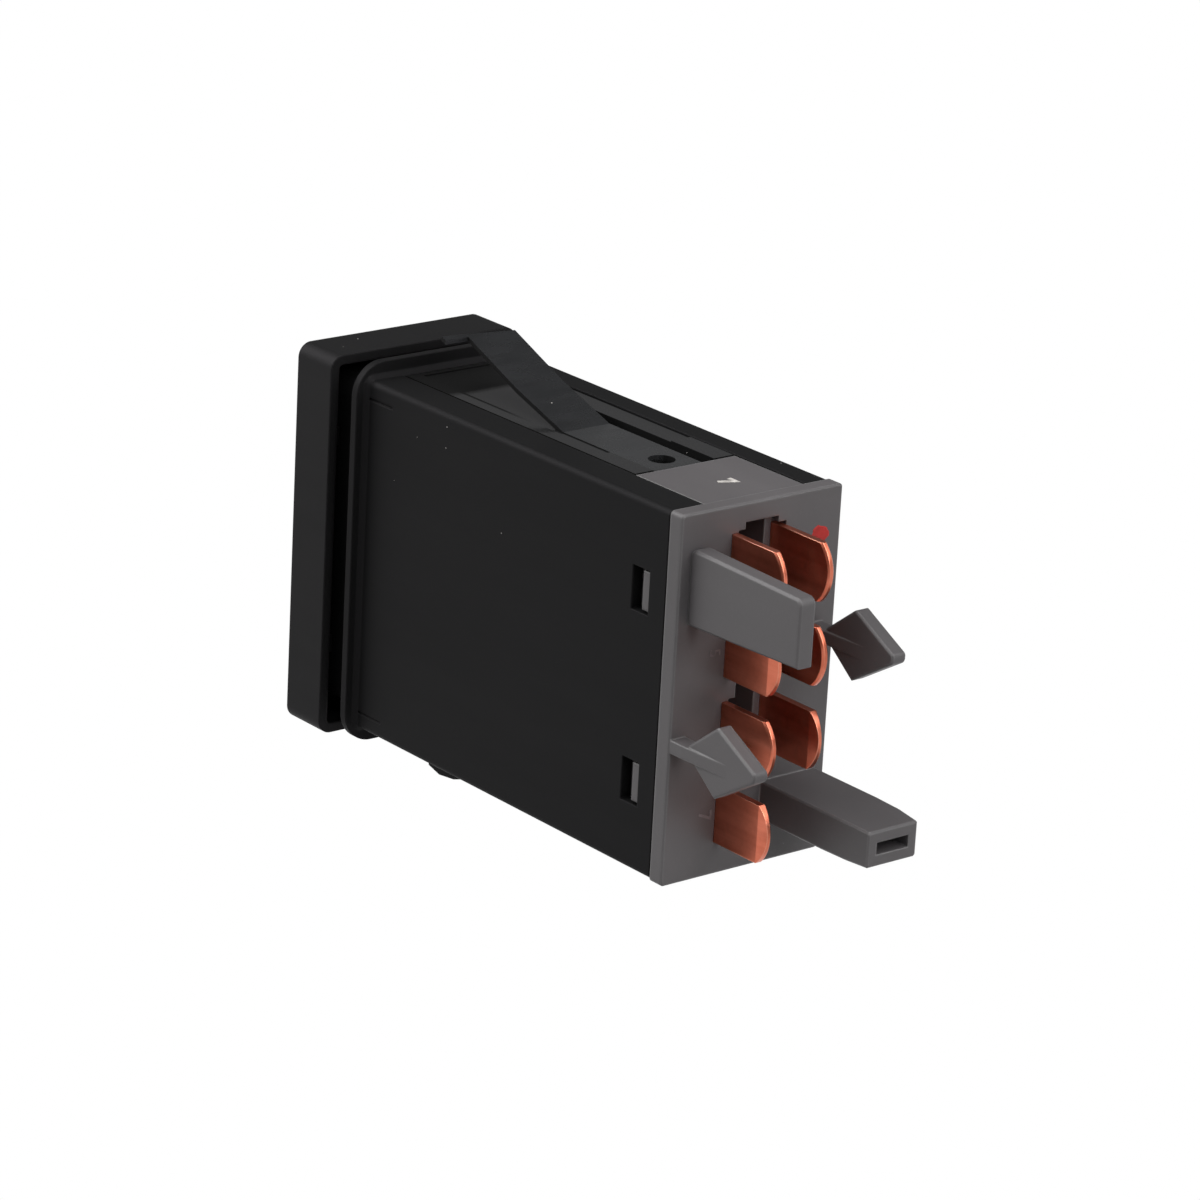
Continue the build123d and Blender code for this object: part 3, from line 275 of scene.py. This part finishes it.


# Moulded grey of the terminal base, its edges lightened as a painted highlight

greyLook = {
    "cloud": (140.0, 4.0, (1, 0.2, 1)), "cloudRange": (0.3, 0.7), "dark": rose(0.046), "light": rose(0.054),
    "fine": (2600.0, 2.0), "fineRange": (0.55, 0.8), "fineShare": 0.2, "fineColour": rose(0.0702),
    # edge colour: a painted highlight
    "edge": 0.3 * mm, "edgeGain": 3.0, "edgeShare": 0.8, "edgeColour": grey(0.15, 0.01),
    "dust": (520.0, 0.04, 0.04), "dustShare": 0.7, "dustColour": grey(0.5),
    "rough": 0.48, "roughSpread": 0.2, "bump": (0.12, 0.02 * mm), "gloss": 0.4,
}


def mouldedGrey(name, look):
    r = Recipe(name)
    cloud = r.noise(*look["cloud"])
    colour = r.mix(r.between(cloud, *look["cloudRange"]), look["dark"], look["light"])
    fine = r.noise(*look["fine"])
    colour = r.mix(r.between(fine, *look["fineRange"]) * look["fineShare"], colour, look["fineColour"])
    bevel = r.bevel(look["edge"])
    colour = r.edgeHighlightAndSawnEdge(colour, bevel, look)
    colour = r.mix(r.specks(*look["dust"]) * look["dustShare"], colour, look["dustColour"])
    rough = look["rough"] + (cloud - 0.5) * look["roughSpread"]
    return r.finish({
        "Base Color": colour, "Roughness": rough.clamped(), "Normal": r.bump(fine, look["bump"], bevel),
        "Specular IOR Level": look["gloss"],
    })


# Copper of the blades, rolled along their length and darker where it has tarnished, its bevelled edges lightened
# as a painted highlight

copperLook = {
    "roll": (900.0, 3.0, (1, 0.06, 1)), "rollRange": (0.3, 0.7),
    "bright": (0.8, 0.238, 0.148, 1), "deep": (0.67, 0.172, 0.098, 1),
    "patch": (330.0, 5.0, (1, 1, 1), 0.6), "patchRange": (0.45, 0.7), "patchShare": 0.42,
    "tarnish": (0.34, 0.082, 0.045, 1),
    # edge colour: a painted highlight
    "edge": 0.12 * mm, "edgeGain": 3.4, "edgeShare": 0.7, "edgeColour": (0.85, 0.5, 0.35, 1),
    "rough": 0.3, "roughSpread": 0.12, "dimRange": (0.5, 0.7), "dimRough": 0.08, "bump": (0.06, 0.02 * mm),
}


def stampedCopper(name, look):
    r = Recipe(name)
    roll = r.noise(*look["roll"])
    colour = r.mix(r.between(roll, *look["rollRange"]), look["deep"], look["bright"])
    patch = r.noise(*look["patch"])
    colour = r.mix(r.between(patch, *look["patchRange"]) * look["patchShare"], colour, look["tarnish"])
    bevel = r.bevel(look["edge"])
    colour = r.edgeHighlightAndSawnEdge(colour, bevel, look)
    dim = r.between(patch, *look["dimRange"]) * look["dimRough"]
    rough = look["rough"] + (roll - 0.5) * look["roughSpread"] + dim
    return r.finish({
        "Base Color": colour, "Roughness": rough.clamped(), "Metallic": 1.0,
        "Normal": r.bump(roll, look["bump"], bevel),
    })


# Blackened spring steel of the leaf, its side faces painted with shade: a darker, matt finish

leafLook = {
    "rolled": (600.0, 3.0, (0.3, 1, 0.3)), "range": (0.35, 0.65),
    "dark": grey(0.0095, -0.04), "light": grey(0.0115, -0.04),
    "rough": 0.27, "roughSpread": 0.08, "bump": (0.01, 0.02 * mm), "gloss": 0.73, "tint": (0.93, 0.91, 1.0, 1),
    # painted shade for the side faces
    "cut": {"Base Color": grey(0.004), "Roughness": 0.55, "Specular IOR Level": 0.1},
}


def blackenedSteel(name, look):
    r = Recipe(name)
    rolled = r.noise(*look["rolled"])
    colour = r.mix(r.between(rolled, *look["range"]), look["dark"], look["light"])
    rough = look["rough"] + (rolled - 0.5) * look["roughSpread"]
    # the side faces take the darker, matt finish, painted shade
    return r.finish({
        "Base Color": colour, "Roughness": rough.clamped(), "Normal": r.bump(rolled, look["bump"]),
        "Specular IOR Level": look["gloss"], "Specular Tint": look["tint"],
    }, look["cut"], r.sideways())


# Drawn and plated metals, their edges lightened as a painted highlight

wireLook = {
    "drawn": (1300.0, 3.0, (0.3, 1, 0.3)), "range": (0.3, 0.7), "dark": grey(0.38), "light": grey(0.55),
    # edge colour: a painted highlight
    "edge": 0.08 * mm, "edgeGain": 3.0, "edgeShare": 0.4, "edgeColour": grey(0.7),
    "rough": 0.25, "roughSpread": 0.2, "bump": (0.01, 0.02 * mm),
}
ironLook = dict(
    wireLook, drawn=(700.0, 3.0, (0.3, 1, 0.3)), dark=grey(0.4, 0.02), light=grey(0.52, 0.03), rough=0.38)
canLook = dict(wireLook, dark=grey(0.5), light=grey(0.66), rough=0.3)


def plainMetal(name, look):
    r = Recipe(name)
    drawn = r.noise(*look["drawn"])
    colour = r.mix(r.between(drawn, *look["range"]), look["dark"], look["light"])
    bevel = r.bevel(look["edge"])
    colour = r.edgeHighlightAndSawnEdge(colour, bevel, look)
    rough = look["rough"] + (drawn - 0.5) * look["roughSpread"]
    return r.finish({
        "Base Color": colour, "Roughness": rough.clamped(), "Metallic": 1.0,
        "Normal": r.bump(drawn, look["bump"], bevel),
    })


# Enamelled winding

windingLook = {
    "bands": 1600.0, "dark": (0.16, 0.035, 0.012, 1), "light": (0.52, 0.17, 0.06, 1), "bump": (0.6, 0.06 * mm),
    "rough": 0.28, "metal": 0.6,
}


def winding(name, look):
    r = Recipe(name)
    bands = r.add("ShaderNodeTexWave", {"bands_direction": "Y"}, {"Vector": r.place, "Scale": look["bands"]})
    return r.finish({
        "Base Color": r.mix(bands, look["dark"], look["light"]), "Roughness": look["rough"],
        "Metallic": look["metal"], "Normal": r.bump(bands, look["bump"]),
    })


# Solder resist of the board, paler along its sawn edges

boardLook = {
    "weave": (1500.0, 2.0), "dark": (0.008, 0.07, 0.03, 1), "light": (0.014, 0.115, 0.05, 1),
    "edge": 0.1 * mm, "edgeGain": 3.0, "edgeShare": 0.6, "edgeColour": (0.2, 0.22, 0.11, 1),
    "rough": 0.32, "bump": (0.1, 0.02 * mm),
}


def solderResist(name, look):
    r = Recipe(name)
    weave = r.noise(*look["weave"])
    bevel = r.bevel(look["edge"])
    colour = r.edgeHighlightAndSawnEdge(r.mix(weave, look["dark"], look["light"]), bevel, look)
    return r.finish({
        "Base Color": colour, "Roughness": look["rough"], "Normal": r.bump(weave, look["bump"], bevel),
    })


# Moulded epoxy, acetal, red inlay, red paint and the raised figures: two colours that one noise mixes

epoxyLook = {
    "noise": (4200.0, 2.0), "dark": grey(0.012), "light": grey(0.022), "edge": 0.08 * mm, "bump": (0.3, 0.02 * mm),
    "shader": {"Roughness": 0.55},
}
acetalLook = {
    "noise": (160.0, 3.0), "dark": (0.62, 0.6, 0.54, 1), "light": (0.74, 0.72, 0.66, 1),
    "edge": 0.2 * mm, "bump": (0.05, 0.1 * mm), "shader": {"Roughness": 0.42},
}
inlayLook = {
    "noise": (300.0, 2.0), "dark": (0.42, 0.012, 0.01, 1), "light": (0.6, 0.022, 0.015, 1),
    "edge": 0.1 * mm, "bump": (0.04, 0.1 * mm), "shader": {"Roughness": 0.22, "Coat Weight": 0.4},
}
paintLook = {
    "noise": (900.0, 3.0), "range": (0.35, 0.65), "dark": (0.215, 0.015, 0.013, 1),
    "light": (0.265, 0.019, 0.017, 1), "bump": (0.1, 0.03 * mm),
    "shader": {"Roughness": 0.5, "Specular IOR Level": 0.15},
}
# the rear figures: a little lighter than the base around them
figureLook = {
    "noise": (1400.0, 2.0), "range": (0.35, 0.65), "dark": rose(0.055), "light": rose(0.085),
    "bump": (0.1, 0.02 * mm), "shader": {"Roughness": 0.42},
}
# pale: a painted highlight on the tongue's figure, and the dust specks' own colour
glintAndDustLook = dict(figureLook, dark=grey(0.2, 0.06), light=grey(0.42, 0.05))


def twoTone(name, look):
    r = Recipe(name)
    noise = r.noise(*look["noise"])
    share = r.between(noise, *look["range"]) if "range" in look else noise
    bevel = r.bevel(look["edge"]) if "edge" in look else None
    return r.finish({
        "Base Color": r.mix(share, look["dark"], look["light"]),
        "Normal": r.bump(noise, look["bump"], bevel), **look["shader"],
    })


# Clear glass of the lamp

glassLook = {"haze": (500.0, 2.0), "clear": (0.95, 0.97, 0.97, 1), "rough": 0.03, "hazeRough": 0.04, "ior": 1.5}


def clearGlass(name, look):
    r = Recipe(name)
    return r.finish({
        "Base Color": look["clear"], "Roughness": look["rough"] + r.noise(*look["haze"]) * look["hazeRough"],
        "Transmission Weight": 1.0, "IOR": look["ior"],
    })


finishes = {
    "black_plastic": mouldedBlack("blackMoulding", sleeveLook),
    "black_frame": satinFrame("frameMoulding", frameLook),
    "button_black": mouldedBlack("buttonMoulding", buttonLook),
    "grey_plastic": mouldedGrey("greyMoulding", greyLook),
    "copper": stampedCopper("bareCopper", copperLook),
    "black_spring_steel": blackenedSteel("blackenedSteel", leafLook),
    "spring_steel": plainMetal("springWire", wireLook),
    "relay_iron": plainMetal("platedIron", ironLook),
    "can_aluminium": plainMetal("drawnCan", canLook),
    "copper_wire": winding("coilWinding", windingLook),
    "board_green": solderResist("boardGreen", boardLook),
    "chip_black": twoTone("chipEpoxy", epoxyLook),
    "white_slider": twoTone("naturalAcetal", acetalLook),
    "signal_red": twoTone("signRed", inlayLook),
    "lamp_glass": clearGlass("lampGlass", glassLook),
}
paintFinish = twoTone("redPaint", paintLook)
bezelFinish = mouldedBlack("bezelMoulding", bezelLook)
figureFinish = twoTone("lighterFigure", figureLook)
glintAndDustFinish = twoTone("paintedGlintAndDust", glintAndDustLook)

for row in frame["record"]["subparts"]:
    node = nodes[row["node"]]
    node.data.materials.clear()
    node.data.materials.append(bezelFinish if row["node"] == "bezel" else finishes[row["material_slot"]])
print("finishes made:", len(finishes))


# Handing over a new piece

mergeReach = 0.0005 * mm
sharpAngle = math.radians(35)


def newPiece(bm, name, finish, body, bevelWidth=0.0, smooth=False):
    bmesh.ops.remove_doubles(bm, verts=bm.verts, dist=mergeReach)
    bmesh.ops.recalc_face_normals(bm, faces=bm.faces)
    if bevelWidth:
        sharp = [edge for edge in bm.edges if edge.calc_face_angle(0) > sharpAngle]
        bmesh.ops.bevel(
            bm, geom=sharp, offset=bevelWidth, segments=2, profile=0.5, affect="EDGES", material=-1)
    mesh = bpy.data.meshes.new(name)
    bm.to_mesh(mesh)
    bm.free()
    for face in mesh.polygons:
        face.use_smooth = smooth
    piece = bpy.data.objects.new(name, mesh)
    piece.data.materials.append(finish)
    bpy.context.scene.collection.objects.link(piece)
    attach(piece, body)
    return piece


# Red paint mark on the rear face, an uneven blob

paintMark = {
    "x": -7.9 * mm, "z": 14.95 * mm, "width": 2.35 * mm, "height": 2.1 * mm, "thick": 0.06 * mm,
    "points": 28, "uneven": 0.12, "taper": 0.86, "seed": 4,
}


def makePaintMark(look):
    rng = random.Random(look["seed"])
    bm = bmesh.new()
    ring = bmesh.ops.create_circle(bm, cap_ends=True, segments=look["points"], radius=0.5)["verts"]
    for vert in ring:
        vert.co *= 1 + rng.uniform(-look["uneven"], look["uneven"])
    top = bmesh.ops.extrude_face_region(bm, geom=bm.faces[:])["geom"]
    raised = [made for made in top if isinstance(made, bmesh.types.BMVert)]
    bmesh.ops.scale(bm, vec=(look["taper"], look["taper"], 1), verts=raised)
    bmesh.ops.translate(bm, vec=(0, 0, 1), verts=raised)
    turn = Matrix.Rotation(math.radians(-90), 4, "X")
    size = Matrix.Diagonal((look["width"], look["height"], look["thick"], 1))
    place = Matrix.Translation((look["x"], rearFace, look["z"]))
    bmesh.ops.transform(bm, matrix=place @ turn @ size, verts=bm.verts)
    newPiece(bm, "paint_mark", paintFinish, "body")


makePaintMark(paintMark)


# Plain raised numerals: one on the tongue's top, coloured pale as a painted highlight, and two beside the near
# blades, lying on their sides

numerals = {
    "raise": 0.08 * mm, "curveSteps": 4,
    "marks": (  # figure, side, place across and along it, height, how much bolder
        ("7", "top", (-0.55 * mm, 50.9 * mm), 2.6 * mm, 0.16 * mm),
        ("5", "rear", (5.4 * mm, 4.5 * mm), 2.0 * mm, 0.0),
        ("7", "rear", (5.42 * mm, -13.3 * mm), 2.5 * mm, 0.02 * mm),
    ),
}


def makeNumerals(look):
    onSide = Matrix.Rotation(math.radians(-90), 4, "Z")
    facing = Matrix.Rotation(math.radians(180), 4, "Z")
    upright = Matrix.Rotation(math.radians(90), 4, "X")
    for number, (figure, side, (across, along), height, bolder) in enumerate(look["marks"], 1):
        curve = bpy.data.curves.new("figure", "FONT")
        curve.body = figure
        curve.size = height
        curve.extrude = look["raise"] / 2
        curve.offset = bolder
        curve.resolution_u = look["curveSteps"]
        curve.align_x = "CENTER"
        curve.align_y = "CENTER"
        holder = bpy.data.objects.new("figure", curve)
        bpy.context.scene.collection.objects.link(holder)
        bpy.context.view_layer.update()
        settled = holder.evaluated_get(bpy.context.evaluated_depsgraph_get())
        shape = bpy.data.meshes.new_from_object(settled)
        bpy.data.objects.remove(holder)
        bm = bmesh.new()
        bm.from_mesh(shape)
        if side == "top":
            stand = Matrix.Translation((across, along, topFace)) @ facing
            # pale finish, a painted highlight
            finish = glintAndDustFinish
        else:
            stand = Matrix.Translation((across, rearFace, along)) @ facing @ upright
            finish = figureFinish
        bmesh.ops.transform(bm, matrix=stand @ onSide, verts=bm.verts)
        newPiece(bm, f"numeral_{number}", finish, "body")


makeNumerals(numerals)


# Specks of dust on the leaf, the bezel and the sleeve's side

dust = {
    "specks": (  # place and radius in mm, and the axis that its surface faces
        ((1.4, 24.26, 21.5), 0.1, "z"), ((5.98, -4.31, 21.8), 0.08, "z"), ((9.2, -2.6, 21.8), 0.05, "z"),
        ((10.6, 18.3, 18.6), 0.06, "x"), ((10.6, 18.25, 16.26), 0.05, "x"), ((10.6, 13.15, 16.06), 0.05, "x"),
        ((10.6, 9.4, 10.15), 0.04, "x"), ((10.6, 28.4, 9.7), 0.05, "x"), ((-3.2, 41.3, 20.0), 0.04, "z"),
    ),
    "flat": 0.5,
}


def makeDust(look):
    bm = bmesh.new()
    for (x, y, z), radius, facing in look["specks"]:
        speck = bmesh.ops.create_icosphere(bm, subdivisions=1, radius=radius * mm)["verts"]
        thin = (look["flat"], 1, 1) if facing == "x" else (1, 1, look["flat"])
        bmesh.ops.scale(bm, vec=thin, verts=speck)
        bmesh.ops.translate(bm, vec=(x * mm, y * mm, z * mm), verts=speck)
    newPiece(bm, "dust_specks", glintAndDustFinish, "body")


makeDust(dust)
print("marks made")


# Turned and coiled shapes, for the pieces inside

def turned(bm, profile, centre, axis, steps):
    # profile holds (distance along the axis, radius) pairs
    along, out = {
        "X": (Vector((1, 0, 0)), Vector((0, 0, 1))),
        "Y": (Vector((0, 1, 0)), Vector((1, 0, 0))),
    }[axis]
    verts = [bm.verts.new(Vector(centre) + along * length + out * radius) for length, radius in profile]
    edges = [bm.edges.new(pair) for pair in zip(verts, verts[1:])]
    bmesh.ops.spin(
        bm, geom=verts + edges, cent=centre, axis=along, angle=math.tau, steps=steps, use_merge=True)


def coiled(bm, look, start, stretches):
    # a wire wound round the Y axis from start, in stretches of so many turns at their own pitch
    ring = bmesh.ops.create_circle(bm, segments=look["sides"], radius=look["wire"] / 2)["verts"]
    centre = Vector(start)
    bmesh.ops.translate(bm, vec=centre + Vector((look["radius"], 0, 0)), verts=ring)
    geom = list(ring) + list({edge for vert in ring for edge in vert.link_edges})
    for turns, pitch in stretches:
        steps = round(turns * look["steps"])
        geom = bmesh.ops.spin(
            bm, geom=geom, cent=centre, axis=(0, 1, 0), dvec=(0, pitch / look["steps"], 0),
            angle=math.tau * turns, steps=steps)["geom_last"]
    ends = [edge for edge in bm.edges if edge.is_boundary]
    bmesh.ops.holes_fill(bm, edges=ends, sides=0)


# Return spring of round wire, its end turns closed

springCoil = {
    "wire": 0.5 * mm, "radius": 2.45 * mm, "sides": 8, "steps": 28,
    "inset": 0.26 * mm, "endPitch": 0.56 * mm, "freeTurns": 4, "travel": 4.0 * mm,
}


def makeSpring(look):
    x, z = (springLow.x + springHigh.x) / 2, (springLow.z + springHigh.z) / 2
    whole = springHigh.y - springLow.y
    closed = (1, look["endPitch"])
    free = (look["freeTurns"], (whole - 2 * look["inset"] - 2 * look["endPitch"]) / look["freeTurns"])
    bm = bmesh.new()
    coiled(bm, look, (x, springLow.y + look["inset"], z), (closed, free, closed))
    piece = newPiece(bm, "spring_coil", finishes["spring_steel"], "body", smooth=True)
    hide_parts("return_spring")
    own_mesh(piece)


makeSpring(springCoil)


# Relay winding, turn by turn, over the layers under it

relayWinding = {
    "wire": 0.34 * mm, "radius": 4.62 * mm, "sides": 6, "steps": 24, "turns": 30, "inset": 0.2 * mm,
    "inner": 2.75 * mm, "sunk": 0.03 * mm, "clear": 0.02 * mm, "layerSteps": 36,
}


def makeWinding(look):
    x, z = (coilLow.x + coilHigh.x) / 2, (coilLow.z + coilHigh.z) / 2
    pitch = (coilHigh.y - coilLow.y - 2 * look["inset"]) / look["turns"]
    bm = bmesh.new()
    coiled(bm, look, (x, coilLow.y + look["inset"], z), ((look["turns"], pitch),))
    low, high = coilLow.y + look["clear"], coilHigh.y - look["clear"]
    inner, outer = look["inner"], look["radius"] - look["sunk"]
    layers = ((low, inner), (low, outer), (high, outer), (high, inner), (low, inner))
    turned(bm, layers, (x, 0, z), "Y", look["layerSteps"])
    piece = newPiece(bm, "coil_winding", finishes["copper_wire"], "body", smooth=True)
    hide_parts("relay_coil")


makeWinding(relayWinding)


# Solder joints where the tails, pins and leads come through the board

solderJoints = {  # places along Y and Z and the profile in mm; a tail's joint is drawn out in height
    "tails": (
        (47.9, 15.74), (47.9, 6.68), (47.9, -2.38), (47.9, -11.44), (45.9, 11.94), (45.9, 2.88),
        (45.9, -6.18), (42.65, 7.6),
    ),
    "pins": ((41.5, 4.2), (41.5, 11.0), (28.53, 0.8), (30.08, -1.6), (37.92, -1.6), (18.2, 4.0), (18.2, 9.0)),
    "profile": ((0.0, 0.0), (0.0, 0.95), (0.05, 0.82), (0.16, 0.55), (0.34, 0.36), (0.5, 0.22), (0.54, 0.0)),
    "long": 1.5, "steps": 14,
}


def makeSolder(look):
    bm = bmesh.new()
    face = boardHigh.x
    profile = [(along * mm, radius * mm) for along, radius in look["profile"]]
    for places, stretch in ((look["tails"], look["long"]), (look["pins"], 1.0)):
        for y, z in places:
            known = set(bm.verts)
            turned(bm, profile, (face, y * mm, z * mm), "X", look["steps"])
            fresh = [vert for vert in bm.verts if vert not in known]
            spot = Matrix.Translation((-face, -y * mm, -z * mm))
            bmesh.ops.scale(bm, vec=(1, 1, stretch), space=spot, verts=fresh)
    newPiece(bm, "solder_joints", finishes["can_aluminium"], "body", smooth=True)


makeSolder(solderJoints)


# Tinned legs over the flasher chip's two rows, with a sloped shoulder

chipLegs = {
    "pitch": 2.2 * mm, "count": 4, "width": 0.68 * mm, "reach": 0.74 * mm, "height": 1.54 * mm,
    "body": 5.6 * mm, "shoulder": 0.25, "bevel": 0.07 * mm,
}


def makeChipLegs(look):
    bm = bmesh.new()
    middleY, middleZ = (chipLow.y + chipHigh.y) / 2, (chipLow.z + chipHigh.z) / 2
    for number in range(look["count"]):
        y = middleY + (number - (look["count"] - 1) / 2) * look["pitch"]
        for side in (-1, 1):
            leg = bmesh.ops.create_cube(bm, size=1.0)["verts"]
            foot = [vert for vert in leg if vert.co.x < 0 and vert.co.z * side > 0]
            bmesh.ops.translate(bm, vec=(look["shoulder"], 0, 0), verts=foot)
            bmesh.ops.scale(bm, vec=(look["height"], look["width"], look["reach"]), verts=leg)
            z = middleZ + side * (look["body"] + look["reach"]) / 2
            bmesh.ops.translate(bm, vec=(chipHigh.x - look["height"] / 2, y, z), verts=leg)
    newPiece(
        bm, "chip_legs", finishes["can_aluminium"], "body", bevelWidth=look["bevel"])


makeChipLegs(chipLegs)


# Lamp filament on its two posts, inside the bulb

filament = {
    "wire": 0.09 * mm, "radius": 0.2 * mm, "sides": 5, "steps": 10, "turns": 9, "spread": 1.0 * mm,
    "tip": 7.4 * mm, "post": 0.11 * mm, "postSteps": 8, "short": 0.1 * mm,
}


def makeFilament(look):
    middleZ = (bulbLow.z + bulbHigh.z) / 2
    bm = bmesh.new()
    coiled(bm, look, (0, -look["spread"], 0), ((look["turns"], 2 * look["spread"] / look["turns"]),))
    upright = Matrix.Translation((0, look["tip"], middleZ)) @ Matrix.Rotation(math.radians(90), 4, "X")
    bmesh.ops.transform(bm, matrix=upright, verts=bm.verts)
    seat = bulbHigh.y - look["short"]
    tip = look["tip"] - look["post"]
    for side in (-1, 1):
        post = ((tip, 0), (tip, look["post"]), (seat, look["post"]), (seat, 0))
        turned(bm, post, (0, 0, middleZ + side * look["spread"]), "Y", look["postSteps"])
    newPiece(bm, "lamp_filament", finishes["spring_steel"], "body", smooth=True)


makeFilament(filament)
print("inner pieces made")


# Pale floor that glows evenly, and more strongly beyond the far front corner of the switch

stageLook = {
    "size": 60.0, "drop": 110.0 * mm, "bright": 1.0, "even": 0.77,
    "away": (-0.637, -0.771), "fade": (-0.02, 0.08), "sides": (0.09, 0.16),
}


def makeFloor(look):
    bm = bmesh.new()
    bmesh.ops.create_grid(bm, x_segments=1, y_segments=1, size=look["size"] / 2)
    bmesh.ops.translate(bm, vec=(0, 0, cadLow.z - look["drop"]), verts=bm.verts)
    mesh = bpy.data.meshes.new("floor")
    bm.to_mesh(mesh)
    bm.free()
    floor = bpy.data.objects.new("floor", mesh)
    bpy.context.scene.collection.objects.link(floor)
    r = Recipe("paleFloor")
    spot = r.add("ShaderNodeSeparateXYZ", None, {"Vector": r.place})
    x, y = spot.output("X"), spot.output("Y")
    awayX, awayY = look["away"]
    beyond = r.between(x * awayX + y * awayY, *look["fade"])
    across = y * awayX - x * awayY
    aside = r.between(across * across, *look["sides"])
    level = look["even"] + beyond * (1 - aside) * (look["bright"] - look["even"])
    floor.data.materials.append(r.finish({
        "Base Color": grey(0.0), "Specular IOR Level": 0.0,
        "Emission Color": r.mix(level, grey(0.0), grey(1.0)), "Emission Strength": 1.0,
    }))


makeFloor(stageLook)


# Soft boxes, and a sky that is pale at the horizon and dim overhead

lightLook = {
    "horizon": (0.04, 0.14, 0.77, 0.05),  # heights and brightness from the horizon up
    "lamps": (  # name, place in metres, width and height, watts
        ("rearBox", (-0.1, 1.0, 0.4), (0.6, 0.6), 3.0),
        ("rearHighBox", (-0.1, 0.75, 0.95), (1.5, 1.5), 26.5),
        ("frontLeftHighBox", (0.75, -0.6, 1.0), (1.5, 1.5), 39.0),
        ("backBox", (-0.75, -0.95, 0.45), (1.2, 0.7), 0.3),
    ),
}


def makeLights(look):
    world = bpy.data.worlds.new("studio")
    world.use_nodes = True
    tree = world.node_tree
    where = tree.nodes.new("ShaderNodeTexCoord")
    split = tree.nodes.new("ShaderNodeSeparateXYZ")
    fade = tree.nodes.new("ShaderNodeMapRange")
    for name, value in zip(("From Min", "From Max", "To Min", "To Max"), look["horizon"]):
        fade.inputs[name].default_value = value
    tree.links.new(where.outputs["Generated"], split.inputs["Vector"])
    tree.links.new(split.outputs["Z"], fade.inputs["Value"])
    tree.links.new(fade.outputs["Result"], tree.nodes["Background"].inputs["Color"])
    bpy.context.scene.world = world
    middle = (cadLow + cadHigh) / 2
    for name, place, (width, height), watts in look["lamps"]:
        lamp = bpy.data.lights.new(name, "AREA")
        lamp.shape = "RECTANGLE"
        lamp.size = width
        lamp.size_y = height
        lamp.energy = watts
        holder = bpy.data.objects.new(name, lamp)
        holder.location = place
        holder.rotation_euler = (middle - Vector(place)).to_track_quat("-Z", "Y").to_euler()
        bpy.context.scene.collection.objects.link(holder)


makeLights(lightLook)


# Camera where the photograph was taken from, rolled a little

cameraLook = {
    "place": (322.39 * mm, 422.05 * mm, 177.17 * mm), "azimuth": 140.401, "elevation": 19.141, "roll": 3.1,
    "lens": 151.52, "sensor": 36.0, "near": 0.01, "far": 100.0,
}


def makeCamera(look):
    around, above, roll = (math.radians(look[angle]) for angle in ("azimuth", "elevation", "roll"))
    back = Vector((
        math.sin(around) * math.cos(above), -math.cos(around) * math.cos(above), math.sin(above)))
    right = Vector((math.cos(around), math.sin(around), 0))
    up = back.cross(right)
    rolledRight = math.cos(roll) * right + math.sin(roll) * up
    rolledUp = math.cos(roll) * up - math.sin(roll) * right
    camera = bpy.data.cameras.new("camera")
    camera.lens = look["lens"]
    camera.sensor_width = look["sensor"]
    camera.clip_start = look["near"]
    camera.clip_end = look["far"]
    holder = bpy.data.objects.new("camera", camera)
    turn = Matrix((rolledRight, rolledUp, back)).transposed().to_4x4()
    holder.matrix_world = Matrix.Translation(look["place"]) @ turn
    bpy.context.scene.collection.objects.link(holder)
    bpy.context.scene.camera = holder


makeCamera(cameraLook)
bpy.context.scene.view_settings.view_transform = "Standard"
print("stage, light and camera made")
